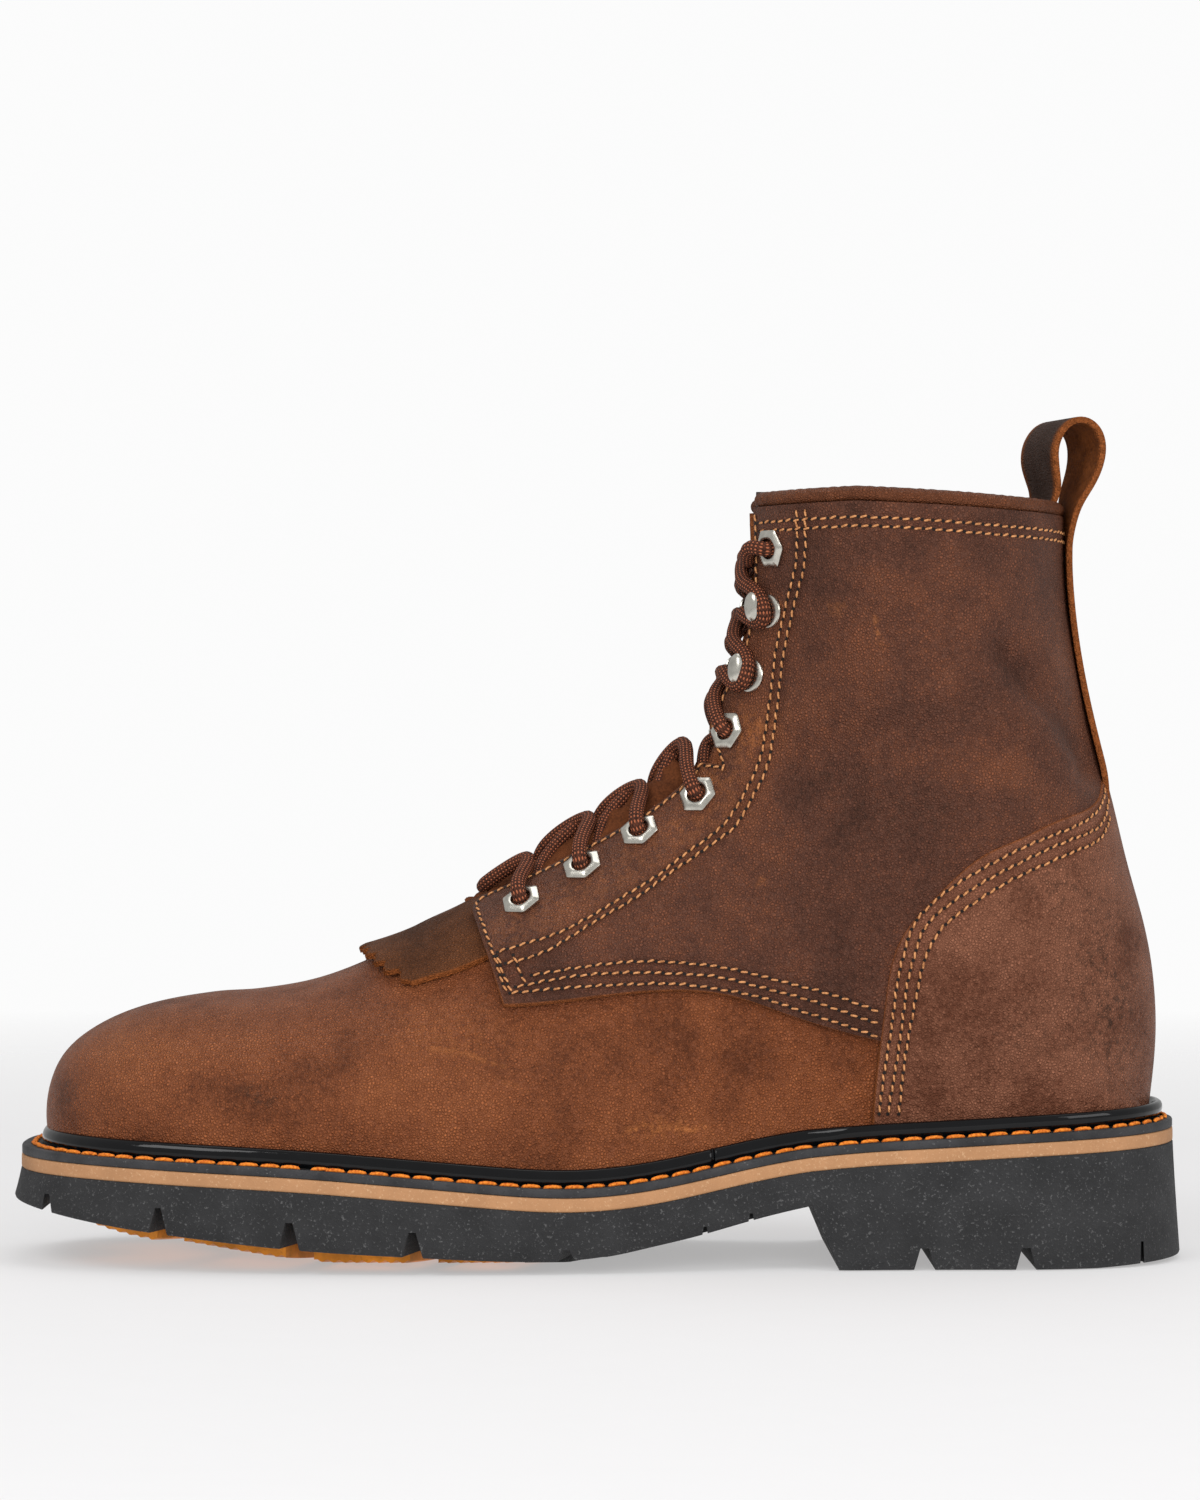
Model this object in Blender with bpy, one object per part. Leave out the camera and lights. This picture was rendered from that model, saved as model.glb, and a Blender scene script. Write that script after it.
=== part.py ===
"""Kiltie work boot for the left foot, drawn as an assembly of separate solids.

The boot stands empty on its sole. The toe points to -X, the heel to +X, the
outer (lateral) side to -Y and up is +Z. Sizes below are in millimetres and the
meshes are made in metres. The upper is a fan of flat sections: each section
runs from the feather line (or up the back of the heel) to the ridge of the
vamp, the instep or the front of the shaft. Every leather overlay is cut from
that same surface, moved outward along its normal.
"""
import math
from collections import namedtuple

import bmesh
import bpy
import numpy as np
from mathutils import kdtree

MM = 0.001
WELD = 0.04

# Sole plan: the feather line is where the leather meets the welt.
TOE_CENTRE, TOE_TIP, TOE_POWER = -72.0, -147.3, 2.8
HEEL_CENTRE, HEEL_TIP, HEEL_POWER = 106.0, 143.7, 2.3
TOE_SWING = 4.2
CHEVRON = 17.0

# Thicknesses and clearances.
GAP = 0.3
WALL = 2.0
OVERLAY_GAP = 0.4
QUARTER = 1.7
COUNTER = 2.3
COUNTER_FOOT = 2.6
STRAP = 2.0
TONGUE = 2.0
KILTIE = 1.8
MIDSOLE = 3.3
FLANGE = 2.3
BEAD = 4.7
INSOLE = 3.5
QUARTER_TOP = OVERLAY_GAP + QUARTER
COUNTER_TOP = OVERLAY_GAP + COUNTER

# Trim.
EYELET_ACROSS, EYELET_HOLE, EYELET_THICK = 10.4, 5.0, 1.1
HOOK_BASE, HOOK_LIP, HOOK_REACH, HOOK_NECK = 8.8, 8.6, 6.4, 3.7
HOOK_RUN = 4.5
LACE_RADIUS = 2.0
PIPING_RADIUS = 1.75
COLLAR_Z = 199.0
STRAP_WIDTH = 22.0

Feather = namedtuple("Feather", "x half swing")
FEATHER = [
    Feather(-72, 47.6, 0.2),
    Feather(-50, 47.4, -0.9),
    Feather(-25, 45.0, -2.0),
    Feather(0, 41.2, -3.0),
    Feather(25, 36.8, -3.0),
    Feather(50, 33.0, -2.0),
    Feather(75, 31.0, -0.9),
    Feather(98, 30.6, -0.2),
    Feather(106, 30.6, 0.0),
]

Height = namedtuple("Height", "x z")
OUTSOLE_TOP = [
    Height(-156, 24.6), Height(-131, 23.6), Height(-103, 22.4), Height(-73, 20.8),
    Height(-31, 17.2), Height(-6, 15.9), Height(8, 17.0), Height(21, 19.2),
    Height(37, 22.6), Height(52, 25.2), Height(64, 26.5), Height(84, 27.6),
    Height(115, 29.3), Height(131, 30.2), Height(156, 32.0),
]
RIM_UNDER = [
    Height(-156, 16.2), Height(-130, 12.0), Height(-103, 8.8), Height(-77, 6.2),
    Height(-45, 4.4), Height(-10, 3.4), Height(3, 4.7), Height(12, 6.6),
    Height(22, 8.8), Height(32, 11.4), Height(42, 14.0), Height(54, 16.6),
]
HEEL_UNDER = [
    Height(61, 0.0), Height(126, 0.0), Height(138, 0.7), Height(149, 2.0), Height(157, 5.0),
]
TREAD = [Height(-150, 12.4), Height(-130, 8.6), Height(-105, 4.6), Height(-84, 1.4), Height(-66, 0.0)]
BREAST_TOP, BREAST_FOOT = 54.0, 61.0

# How far the back of the leather stands from the heel, by height.
BACK = [
    Height(143.7, 36.5), Height(145.2, 50), Height(145.9, 63), Height(144.4, 80),
    Height(139.8, 100), Height(132.9, 125), Height(126.7, 150), Height(122.9, 175),
    Height(121.9, 199),
]

# One row per section of the upper. 'foot' is the place on the bottom path: an x
# along the feather line, or past the heel tip a rise up the back.
Section = namedtuple(
    "Section", "name foot top_x top_z ridge_y out_lateral out_medial belly start crown curl")
SECTIONS = [
    Section("toe_edge", -100, -147.3, 30.3, 4.2, 0.0, 0.0, 0.01, 0.372, 2.80, 0.0),
    Section("toe_wall", -98, -148.0, 39.5, 4.2, 0.1, 0.1, 0.05, 0.345, 2.80, 0.0),
    Section("toe_front", -95, -146.2, 48.5, 4.2, 0.3, 0.3, 0.10, 0.305, 2.75, 0.0),
    Section("toe_crown", -91, -140.6, 56.6, 4.1, 0.7, 0.7, 0.14, 0.250, 2.70, 0.0),
    Section("cap_front", -86, -128.0, 63.9, 4.0, 1.1, 1.1, 0.18, 0.180, 2.60, 0.0),
    Section("cap_mid", -80, -112.0, 68.5, 3.8, 1.4, 1.4, 0.22, 0.100, 2.50, 0.0),
    Section("cap_end", -72, -94.0, 70.3, 3.4, 1.8, 1.8, 0.25, 0.040, 2.40, 0.0),
    Section("vamp", -61, -76.0, 73.6, 3.0, 1.6, 1.8, 0.27, 0.0, 2.30, 0.0),
    Section("ball", -46, -58.0, 81.2, 2.6, 1.4, 1.8, 0.29, 0.0, 2.15, 0.0),
    Section("flex", -28.5, -45.0, 87.6, 2.2, 1.2, 2.0, 0.30, 0.0, 2.05, 0.0),
    Section("throat", -9.8, -33.6, 93.3, 1.8, 0.9, 2.4, 0.31, 0.0, 2.00, 0.0),
    Section("instep_low", 12, -16.0, 104.0, 1.4, 0.7, 3.4, 0.32, 0.0, 1.95, 0.0),
    Section("instep_mid", 36, 1.0, 114.5, 1.0, 0.7, 4.2, 0.33, 0.0, 1.95, 0.0),
    Section("instep_top", 62, 15.0, 123.2, 0.6, 1.2, 4.0, 0.34, 0.0, 1.95, 0.0),
    Section("bend", 88, 24.5, 132.5, 0.3, 2.2, 3.6, 0.35, 0.0, 1.95, 0.0),
    Section("ankle", 112, 29.6, 142.0, 0.0, 3.2, 3.8, 0.37, 0.0, 2.00, 0.35),
    Section("heel_turn", 132, 32.6, 151.0, 0.0, 3.9, 4.1, 0.40, 0.0, 2.00, 0.85),
    Section("heel_end", 143.7, 35.0, 159.5, 0.0, 4.3, 4.3, 0.43, 0.0, 2.05, 1.0),
    Section("heel_low", 156.7, 36.7, 166.6, 0.0, 4.5, 4.5, 0.45, 0.0, 2.05, 1.0),
    Section("heel_swell", 175.7, 37.9, 173.2, 0.0, 4.8, 4.8, 0.46, 0.0, 2.05, 1.0),
    Section("tendon_low", 200.7, 38.7, 179.5, 0.0, 5.2, 5.2, 0.47, 0.0, 2.05, 1.0),
    Section("tendon", 229.7, 39.1, 185.6, 0.0, 5.9, 5.9, 0.48, 0.0, 2.05, 1.0),
    Section("shaft", 261.7, 39.3, 191.4, 0.0, 6.9, 6.9, 0.49, 0.0, 2.05, 1.0),
    Section("collar", 305.5, 39.4, 199.0, 0.0, 8.2, 8.2, 0.50, 0.0, 2.10, 1.0),
]
THROAT, HEEL_END, COLLAR = 10.0, 17.0, 23.0

# Edges of the overlays as they read in the side view.
Edge = namedtuple("Edge", "x z")
QUARTER_EDGE = [
    Edge(-25.2, 67.9), Edge(-15.5, 68.4), Edge(0.0, 70.3), Edge(12.9, 71.7), Edge(24.8, 71.7),
    Edge(36.2, 69.9), Edge(47.7, 66.1), Edge(59.8, 62.3), Edge(73.0, 58.9),
]
COUNTER_EDGE = [
    Edge(70.6, 33.5), Edge(71.7, 46.9), Edge(73.2, 60.0), Edge(74.3, 68.9), Edge(76.0, 78.9),
    Edge(79.7, 87.6), Edge(87.6, 96.8), Edge(99.0, 107.2), Edge(108.3, 111.7),
    Edge(117.6, 116.4), Edge(125.5, 119.0), Edge(129.5, 121.3), Edge(132.6, 125.0),
]
Eyelet = namedtuple("Eyelet", "x z")
EYELETS = [
    Eyelet(-19.6, 93.1), Eyelet(-4.0, 103.1), Eyelet(11.1, 112.4), Eyelet(27.0, 122.2),
    Eyelet(35.2, 139.4), Eyelet(39.4, 156.8), Eyelet(43.6, 173.8), Eyelet(46.6, 188.0),
]
HOOK_ROWS = (5, 6)

# Half width of the throat, measured over the surface from the ridge.
Throat = namedtuple("Throat", "at half")
FACING = [
    Throat(0, 12.5), Throat(12, 12.2), Throat(13, 11.0), Throat(14, 10.8), Throat(15, 7.6),
    Throat(16, 7.6), Throat(17, 10.4), Throat(18, 12.3), Throat(20, 13.7), Throat(23, 15.4),
]
NOTCH_AT, NOTCH_REACH, NOTCH_DEPTH = 14.5, 0.5, 8.0
LINING_BACK = 1.6

# Kiltie: its half width over the vamp, and the lift of its free front edge.
KILTIE_FRONT, KILTIE_BACK = 7.75, 13.4
KILTIE_TEETH = 7

# Pull loop: the middle of the strap in side view, from inside the collar, over
# the loop and down the back to the top of the counter.
Strap = namedtuple("Strap", "x z skew")
LOOP = [
    Strap(114.6, 176, 0.0), Strap(115.0, 190, 0.1), Strap(115.2, 200, 0.4), Strap(114.9, 207, 0.8),
    Strap(115.4, 214, 1.0), Strap(118.3, 220, 1.0), Strap(123.2, 222.6, 1.0), Strap(128.0, 220.8, 1.0),
    Strap(130.9, 215.6, 1.0), Strap(131.0, 210, 0.9), Strap(129.3, 203.5, 0.6), Strap(127.2, 197, 0.3),
    Strap(126.3, 189, 0.0),
]
LOOP_SKEW = 0.29

# Sole grooves, as they open on the rim: place, base, top and height.
Groove = namedtuple("Groove", "x base top rise")
FORE_GROOVES = [
    Groove(-115.5, 4.8, 1.4, 6.8), Groove(-81.4, 5.2, 1.8, 7.0), Groove(-49.0, 5.2, 1.8, 6.5),
    Groove(-9.4, 4.2, 1.6, 2.8),
]
HEEL_GROOVES = [Groove(84.3, 5.6, 2.2, 5.6), Groove(110.7, 5.4, 2.2, 5.7)]
Pad = namedtuple("Pad", "front rear")
PADS = [Pad(-141.0, -119.2), Pad(-112.0, -85.2), Pad(-77.8, -52.8), Pad(-45.4, -26.0)]
BALL_LUG = Pad(-23.0, -13.0)
PAD_INSET = 9.0


def spline(keys, values, flat=False):
    """Make a natural cubic spline, or one with level ends, through the rows."""
    k = np.asarray(keys, float)
    v = np.asarray(values, float)
    h = np.diff(k)
    slope = np.diff(v) / h
    n = len(k)
    lhs = np.eye(n)
    rhs = np.zeros(n)
    for i in range(1, n - 1):
        lhs[i, i - 1:i + 2] = h[i - 1], 2 * (h[i - 1] + h[i]), h[i]
        rhs[i] = 6 * (slope[i] - slope[i - 1])
    if flat:
        lhs[0, :2] = 2 * h[0], h[0]
        rhs[0] = 6 * slope[0]
        lhs[-1, -2:] = h[-1], 2 * h[-1]
        rhs[-1] = -6 * slope[-1]
    m = np.linalg.solve(lhs, rhs)

    def read(at):
        at = np.asarray(at, float)
        i = np.clip(np.searchsorted(k, at) - 1, 0, n - 2)
        d = at - k[i]
        run = slope[i] - h[i] * (2 * m[i] + m[i + 1]) / 6
        return v[i] + d * run + d ** 2 * m[i] / 2 + d ** 3 * (m[i + 1] - m[i]) / (6 * h[i])

    return read


def column(rows, name):
    """Read one named column of a table."""
    return [getattr(row, name) for row in rows]


def table(rows, key, value, flat=False):
    """Make a spline of one named column over another."""
    return spline(column(rows, key), column(rows, value), flat)


half_of = table(FEATHER, "x", "half", flat=True)
swing_of = table(FEATHER, "x", "swing")
outsole_top = table(OUTSOLE_TOP, "x", "z")
rim_under = table(RIM_UNDER, "x", "z")
heel_under = table(HEEL_UNDER, "x", "z")
tread_curve = table(TREAD, "x", "z", flat=True)
back_of = spline(column(BACK, "z"), column(BACK, "x"))


def tread(x):
    """Give the height of the tread under the forefoot; the ball is level."""
    return np.where(np.asarray(x) >= TREAD[-1].x, 0.0, np.maximum(tread_curve(x), 0.0))


def midsole_top(x):
    """Give the height of the midsole's upper face."""
    return outsole_top(x) + 0.2 + MIDSOLE


def welt_top(x):
    """Give the height of the welt's stitched ledge."""
    return midsole_top(x) + 0.3 + FLANGE


def seat(x):
    """Give the height at which the upper stands on the welt."""
    return welt_top(x) - 0.1


def superellipse(share, power):
    """Give the half width left at a share of the way to the tip."""
    return np.clip(1.0 - np.abs(share) ** power, 0.0, 1.0) ** (1.0 / power)


def feather_half(x):
    """Give the half width of the feather line at x."""
    x = np.asarray(x, float)
    toe = np.clip((TOE_CENTRE - x) / (TOE_CENTRE - TOE_TIP), 0, 1)
    heel = np.clip((x - HEEL_CENTRE) / (HEEL_TIP - HEEL_CENTRE), 0, 1)
    body = half_of(np.clip(x, TOE_CENTRE, HEEL_CENTRE))
    return body * superellipse(toe, TOE_POWER) * superellipse(heel, HEEL_POWER)


def feather_centre(x):
    """Give the middle of the foot at x; the toe swings to the inner side."""
    x = np.asarray(x, float)
    toe = np.clip((TOE_CENTRE - x) / (TOE_CENTRE - TOE_TIP), 0, 1)
    body = swing_of(np.clip(x, TOE_CENTRE, HEEL_CENTRE))
    return body + (TOE_SWING - FEATHER[0].swing) * toe


class Last:
    """The boot's outer surface as a fine grid over section t and share q.

    q runs from -1 at the outer foot of a section, over the ridge at 0, to +1 at
    the inner foot. Shares are measured along the curve of each half section.
    """

    ROWS, COLS, FINE = 231, 61, 240

    def __init__(self):
        self.t = np.linspace(0, COLLAR, self.ROWS)
        names = Section._fields[1:]
        index = np.arange(len(SECTIONS))
        self.columns = {name: spline(index, column(SECTIONS, name)) for name in names}
        grid = []
        rise = []
        length = []
        for t in self.t:
            points, share, arc = self.section(float(t))
            grid.append(points)
            rise.append(share)
            length.append(arc)
        self.points = np.array(grid)
        self.rise = np.array(rise)
        self.length = np.array(length)
        self.normals = self.find_normals()

    def row(self, t):
        """Read the section table at t, with its two end points."""
        value = {name: float(read(t)) for name, read in self.columns.items()}
        foot = value["foot"]
        if foot <= HEEL_TIP:
            value["foot_x"], value["foot_z"] = foot, float(seat(foot))
        else:
            value["foot_z"] = float(seat(HEEL_TIP)) + foot - HEEL_TIP
            value["foot_x"] = float(back_of(value["foot_z"])) + self.heel_shift(value["foot_z"])
        return value

    @staticmethod
    def heel_shift(z):
        """Bring the back curve onto the heel tip at the seat."""
        base = float(seat(HEEL_TIP))
        return (HEEL_TIP - float(back_of(base))) * max(0.0, 1.0 - (z - base) / 20.0)

    def section(self, t):
        """Draw one section: points from the outer foot to the inner foot."""
        row = self.row(t)
        run = row["top_x"] - row["foot_x"]
        climb = row["top_z"] - row["foot_z"]
        reach = math.hypot(run, climb)
        closed = row["foot"] > HEEL_TIP
        x_in_plan = min(row["foot"], HEEL_TIP)
        foot_half = 0.0 if closed else float(feather_half(x_in_plan))
        body = float(feather_half(min(x_in_plan, HEEL_CENTRE)))
        middle = float(feather_centre(x_in_plan))
        belly = max(row["belly"], 0.004)
        start = max(row["start"], 0.0)
        curl = min(max(row["curl"], 0.0), 1.0)
        halves = []
        for side, out in ((-1, row["out_lateral"]), (1, row["out_medial"])):
            wide = body + max(out, 0.0)
            angle = np.linspace(math.pi / 2, 0, self.FINE)
            share = np.sin(angle) ** (2 / row["crown"])
            top_share = start + (1 - start) * share
            top_y = wide * superellipse(top_share, row["crown"]) / float(superellipse(start, row["crown"]))
            top_s = belly + (1 - belly) * share
            turn = np.linspace(0, math.pi / 2, self.FINE // 2)[1:]
            low_s = belly * (1 - np.sin(turn))
            soft = low_s / belly
            wall = soft * soft * (3 - 2 * soft)
            low_y = foot_half + (wide - foot_half) * ((1 - curl) * wall + curl * np.cos(turn))
            s = np.concatenate([top_s, low_s])
            y = np.concatenate([top_y, low_y])
            centre = middle + (row["ridge_y"] - middle) * s
            path = np.stack([row["foot_x"] + run * s, centre + side * y, row["foot_z"] + climb * s], 1)
            step = np.linalg.norm(np.diff(path, axis=0), axis=1)
            arc = np.concatenate([[0], np.cumsum(step)])
            want = np.linspace(0, arc[-1], self.COLS)
            even = np.stack([np.interp(want, arc, path[:, i]) for i in range(3)], 1)
            halves.append((even, np.interp(want, arc, s), arc[-1]))
        (outer, outer_s, outer_arc), (inner, inner_s, inner_arc) = halves
        points = np.concatenate([outer[::-1], inner[1:]])
        shares = np.concatenate([outer_s[::-1], inner_s[1:]])
        return points, shares, (outer_arc, inner_arc)

    def find_normals(self):
        """Give outward normals on the grid, joined across the back seam."""
        along = np.gradient(self.points, axis=0)
        across = np.gradient(self.points, axis=1)
        normal = np.cross(across, along)
        size = np.linalg.norm(normal, axis=2)
        weak = size < 0.02
        normal /= np.maximum(size, 1e-9)[..., None]
        middle = normal[80, self.COLS // 2]
        if middle[1] > 0:
            normal = -normal
        closed = self.t >= HEEL_END
        seam = normal[closed, 0] + normal[closed, -1]
        seam /= np.linalg.norm(seam, axis=1)[:, None]
        normal[closed, 0] = seam
        normal[closed, -1] = seam
        cols = self.points.shape[1]
        for i in range(self.ROWS):
            good = np.where(~weak[i])[0]
            if len(good) < cols:
                for j in np.where(weak[i])[0]:
                    normal[i, j] = normal[i, good[np.argmin(abs(good - j))]]
        return normal

    def read(self, grid, t, q):
        """Read a grid between its rows and columns."""
        t, q = np.broadcast_arrays(np.asarray(t, float), np.asarray(q, float))
        u = np.clip(t, 0, COLLAR) / COLLAR * (self.ROWS - 1)
        v = (np.clip(q, -1, 1) + 1) * (self.COLS - 1)
        i = np.clip(u.astype(int), 0, self.ROWS - 2)
        j = np.clip(v.astype(int), 0, grid.shape[1] - 2)
        a = (u - i)[..., None]
        b = (v - j)[..., None]
        low = grid[i, j] * (1 - b) + grid[i, j + 1] * b
        high = grid[i + 1, j] * (1 - b) + grid[i + 1, j + 1] * b
        return low * (1 - a) + high * a

    def at(self, t, q, lift=0.0):
        """Give points on the surface, moved outward by a lift."""
        place = self.read(self.points, t, q)
        normal = self.read(self.normals, t, q)
        normal = normal / np.linalg.norm(normal, axis=-1)[..., None]
        return place + normal * np.asarray(lift, float)[..., None]

    def normal(self, t, q):
        """Give the outward normal at one place."""
        value = self.read(self.normals, t, q)
        return value / np.linalg.norm(value, axis=-1)[..., None]

    def half_length(self, t, side):
        """Give the length of the curve from ridge to foot on one side."""
        return np.interp(t, self.t, self.length[:, 0 if side < 0 else 1])

    def share_of(self, t, side, over):
        """Turn a distance over the surface from the ridge into q."""
        return side * np.asarray(over, float) / self.half_length(t, side)

    def q_at_rise(self, t, side, rise):
        """Find q on one side where a section reaches a share of its height."""
        u = min(max(t, 0), COLLAR) / COLLAR * (self.ROWS - 1)
        i = min(int(u), self.ROWS - 2)
        shares = self.rise[i] * (1 - (u - i)) + self.rise[i + 1] * (u - i)
        if side < 0:
            shares = shares[:self.COLS][::-1]
        else:
            shares = shares[self.COLS - 1:]
        q = np.linspace(0, 1, self.COLS)
        return side * float(np.interp(rise, shares[::-1], q[::-1]))

    def locate(self, x, z):
        """Find the section and the share of its height at a side-view place."""
        feet = np.array([[self.row(t)["foot_x"], self.row(t)["foot_z"]] for t in self.t])
        tops = np.stack([self.columns["top_x"](self.t), self.columns["top_z"](self.t)], 1)
        run = tops - feet
        to = np.array([x, z]) - feet
        cross = run[:, 0] * to[:, 1] - run[:, 1] * to[:, 0]
        share = (run * to).sum(1) / (run ** 2).sum(1)
        for i in range(len(self.t) - 1):
            inside = -0.05 <= share[i] <= 1.1
            if inside and cross[i] * cross[i + 1] <= 0:
                w = cross[i] / (cross[i] - cross[i + 1]) if cross[i] != cross[i + 1] else 0.0
                return float(self.t[i] + w * (self.t[i + 1] - self.t[i])), float(
                    share[i] + w * (share[i + 1] - share[i]))
        raise ValueError("no section passes the place")


LAST = Last()


def edge_of(rows):
    """Turn a side-view edge into its height share over the sections."""
    key = np.concatenate([[0], np.cumsum(np.hypot(np.diff(column(rows, "x")), np.diff(column(rows, "z"))))])
    read_x = spline(key, column(rows, "x"))
    read_z = spline(key, column(rows, "z"))
    places = [LAST.locate(float(read_x(k)), float(read_z(k))) for k in np.linspace(0, key[-1], 60)]
    places.sort()
    at = np.array([p[0] for p in places])
    share = np.array([p[1] for p in places])
    return at, share


QUARTER_LINE = edge_of(QUARTER_EDGE)
COUNTER_LINE = edge_of(COUNTER_EDGE)
COUNTER_FIRST, COUNTER_LAST = COUNTER_LINE[0][0], COUNTER_LINE[0][-1]
EYELET_PLACES = [LAST.locate(e.x, e.z) for e in EYELETS]


def facing_half(t):
    """Give the half width of the throat at t, with the flex notch."""
    plain = np.interp(t, column(FACING, "at"), column(FACING, "half"))
    notch = np.clip(1 - np.abs(np.asarray(t) - NOTCH_AT) / NOTCH_REACH, 0, 1)
    return plain + NOTCH_DEPTH * notch


def object_from(name, points, faces):
    """Make one closed mesh object from millimetre points and faces."""
    mesh = bpy.data.meshes.new(name)
    mesh.from_pydata([tuple(p) for p in np.asarray(points) * MM], [], faces)
    thing = bpy.data.objects.new(name, mesh)
    bpy.context.scene.collection.objects.link(thing)
    work = bmesh.new()
    work.from_mesh(mesh)
    bmesh.ops.triangulate(work, faces=[f for f in work.faces if len(f.verts) > 4])
    bmesh.ops.recalc_face_normals(work, faces=work.faces)
    if work.calc_volume(signed=True) < 0:
        bmesh.ops.reverse_faces(work, faces=work.faces)
    work.to_mesh(mesh)
    work.free()
    return thing


def grid_faces(rows, cols, skip=None):
    """List the quads of a grid, leaving out the cells that skip names."""
    faces = []
    for i in range(rows - 1):
        for j in range(cols - 1):
            if skip is None or not skip(i, j):
                a = i * cols + j
                faces.append((a, a + 1, a + cols + 1, a + cols))
    return faces


def shell(name, outer, inner, faces):
    """Close a sheet into a solid: two faces and the wall around every rim."""
    index = np.zeros(len(outer), int)
    keep = []
    near = kdtree.KDTree(len(outer))
    for i, p in enumerate(outer):
        near.insert(p, i)
    near.balance()
    index[:] = -1
    for i, p in enumerate(outer):
        if index[i] < 0:
            for _, j, _ in near.find_range(p, WELD):
                index[j] = len(keep) if index[j] < 0 else index[j]
            keep.append(i)
    top = np.asarray(outer)[keep]
    under = np.asarray(inner)[keep]
    count = len(keep)
    clean = []
    for face in faces:
        ring = []
        for v in face:
            if index[v] not in ring:
                ring.append(int(index[v]))
        if len(ring) > 2:
            clean.append(tuple(ring))
    half_edges = {}
    for face in clean:
        for a, b in zip(face, face[1:] + face[:1]):
            half_edges[(a, b)] = half_edges.get((a, b), 0) + 1
    walls = [(b, a, a + count, b + count) for a, b in half_edges if (b, a) not in half_edges]
    under_faces = [tuple(v + count for v in reversed(face)) for face in clean]
    used = sorted({v for f in clean for v in f})
    both = used + [v + count for v in used]
    renumber = {v: i for i, v in enumerate(both)}
    points = np.concatenate([top, under])[both]
    every = [tuple(renumber[v] for v in f) for f in clean + under_faces + walls]
    return object_from(name, points, every)


def crowded(count, ends=0.6):
    """Share out columns so that they stand closer at both ends."""
    even = np.linspace(0, 1, count + 1)
    return even - ends * np.sin(2 * math.pi * even) / (2 * math.pi)


class Lattice:
    """The rows and columns from which the upper and its overlays are cut.

    Overlays share these facets, so that they lie an even distance off the
    upper however coarse the facets are.
    """

    SIDE, THROAT_COLS = 9, 4

    def __init__(self):
        rows = np.concatenate([
            np.linspace(0, THROAT, 12), np.linspace(THROAT, HEEL_END, 10), np.linspace(HEEL_END, COLLAR, 7),
            [NOTCH_AT, NOTCH_AT - NOTCH_REACH, NOTCH_AT + NOTCH_REACH],
            [COUNTER_FIRST, COUNTER_LAST, COUNTER_LAST - 0.35, QUARTER_LINE[0][-1], HEEL_END + 0.2, COLLAR - 0.5]])
        self.t = np.array(sorted({round(float(v), 3) for v in rows}))
        over = facing_half(self.t) + LINING_BACK
        spread = crowded(self.SIDE)
        cols = []
        for a, b in zip(LAST.share_of(self.t, -1, over), LAST.share_of(self.t, 1, over)):
            middle = a + (b - a) * np.linspace(0, 1, self.THROAT_COLS + 1)
            cols.append(np.concatenate([-1 + (a + 1) * spread, middle[1:-1], b + (1 - b) * spread]))
        self.q = np.array(cols)
        self.grid_t = np.repeat(self.t[:, None], self.q.shape[1], 1)

    def sheet(self, lift):
        """Give the lattice points moved outward by a lift."""
        return LAST.at(self.grid_t, self.q, np.full_like(self.q, lift))

    def halves(self, i, j):
        """Split one cell into two triangles of lattice corners."""
        a, b, c, d = (i, j), (i, j + 1), (i + 1, j + 1), (i + 1, j)
        return ((a, b, c), (a, c, d))

    def cut(self, low, high, first, last):
        """Cut the band between two edges, row by row, out of the lattice.

        Each corner comes back as a triangle and its shares of the triangle's
        corners, so that the same cut can be laid at any lift.
        """
        pieces = []
        for i in range(first, last):
            for j in range(self.q.shape[1] - 1):
                for corners in self.halves(i, j):
                    ring = [(self.q[c], float(c[0] - i)) for c in corners]
                    frame = np.array([[q, v, 1.0] for q, v in ring]).T
                    ring = clip(ring, (low[i], low[i + 1]), 1)
                    ring = clip(ring, (high[i], high[i + 1]), -1)
                    if len(ring) > 2:
                        shares = np.linalg.solve(frame, np.array([[q, v, 1.0] for q, v in ring]).T).T
                        pieces.append((corners, shares))
        return pieces

    def solid(self, name, pieces, lift_in, lift_out):
        """Lay a cut between two lifts and close it."""
        laid = []
        for sheet in (self.sheet(lift_out), self.sheet(lift_in)):
            laid.append(np.concatenate([
                shares @ np.array([sheet[c] for c in corners]) for corners, shares in pieces]))
        faces = []
        count = 0
        for _, shares in pieces:
            faces.append(tuple(range(count, count + len(shares))))
            count += len(shares)
        return shell(name, laid[0], laid[1], faces)

    def row(self, t):
        """Find the row that stands at t."""
        return int(np.argmin(np.abs(self.t - t)))


def clip(ring, bound, keep):
    """Keep the part of a cell on one side of a straight edge."""
    def off(corner):
        return keep * (corner[0] - (bound[0] * (1 - corner[1]) + bound[1] * corner[1]))

    kept = []
    for a, b in zip(ring, ring[1:] + ring[:1]):
        da, db = off(a), off(b)
        if da >= -1e-9:
            kept.append(a)
        if (da > 1e-9 and db < -1e-9) or (da < -1e-9 and db > 1e-9):
            w = da / (da - db)
            kept.append((a[0] + (b[0] - a[0]) * w, a[1] + (b[1] - a[1]) * w))
    return kept


LATTICE = Lattice()


def build_upper():
    """Make the hollow upper, open at the collar, the throat and underneath."""
    first = LATTICE.row(THROAT)
    left = LATTICE.SIDE
    right = left + LATTICE.THROAT_COLS
    rows, cols = LATTICE.q.shape
    faces = []
    for i in range(rows - 1):
        for j in range(cols - 1):
            if i < first or not left <= j < right:
                faces += [tuple(r * cols + c for r, c in half) for half in LATTICE.halves(i, j)]
    outer = LATTICE.sheet(0.0).reshape(-1, 3)
    inner = LATTICE.sheet(-WALL).reshape(-1, 3)
    return shell("upper", outer, inner, faces)


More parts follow.
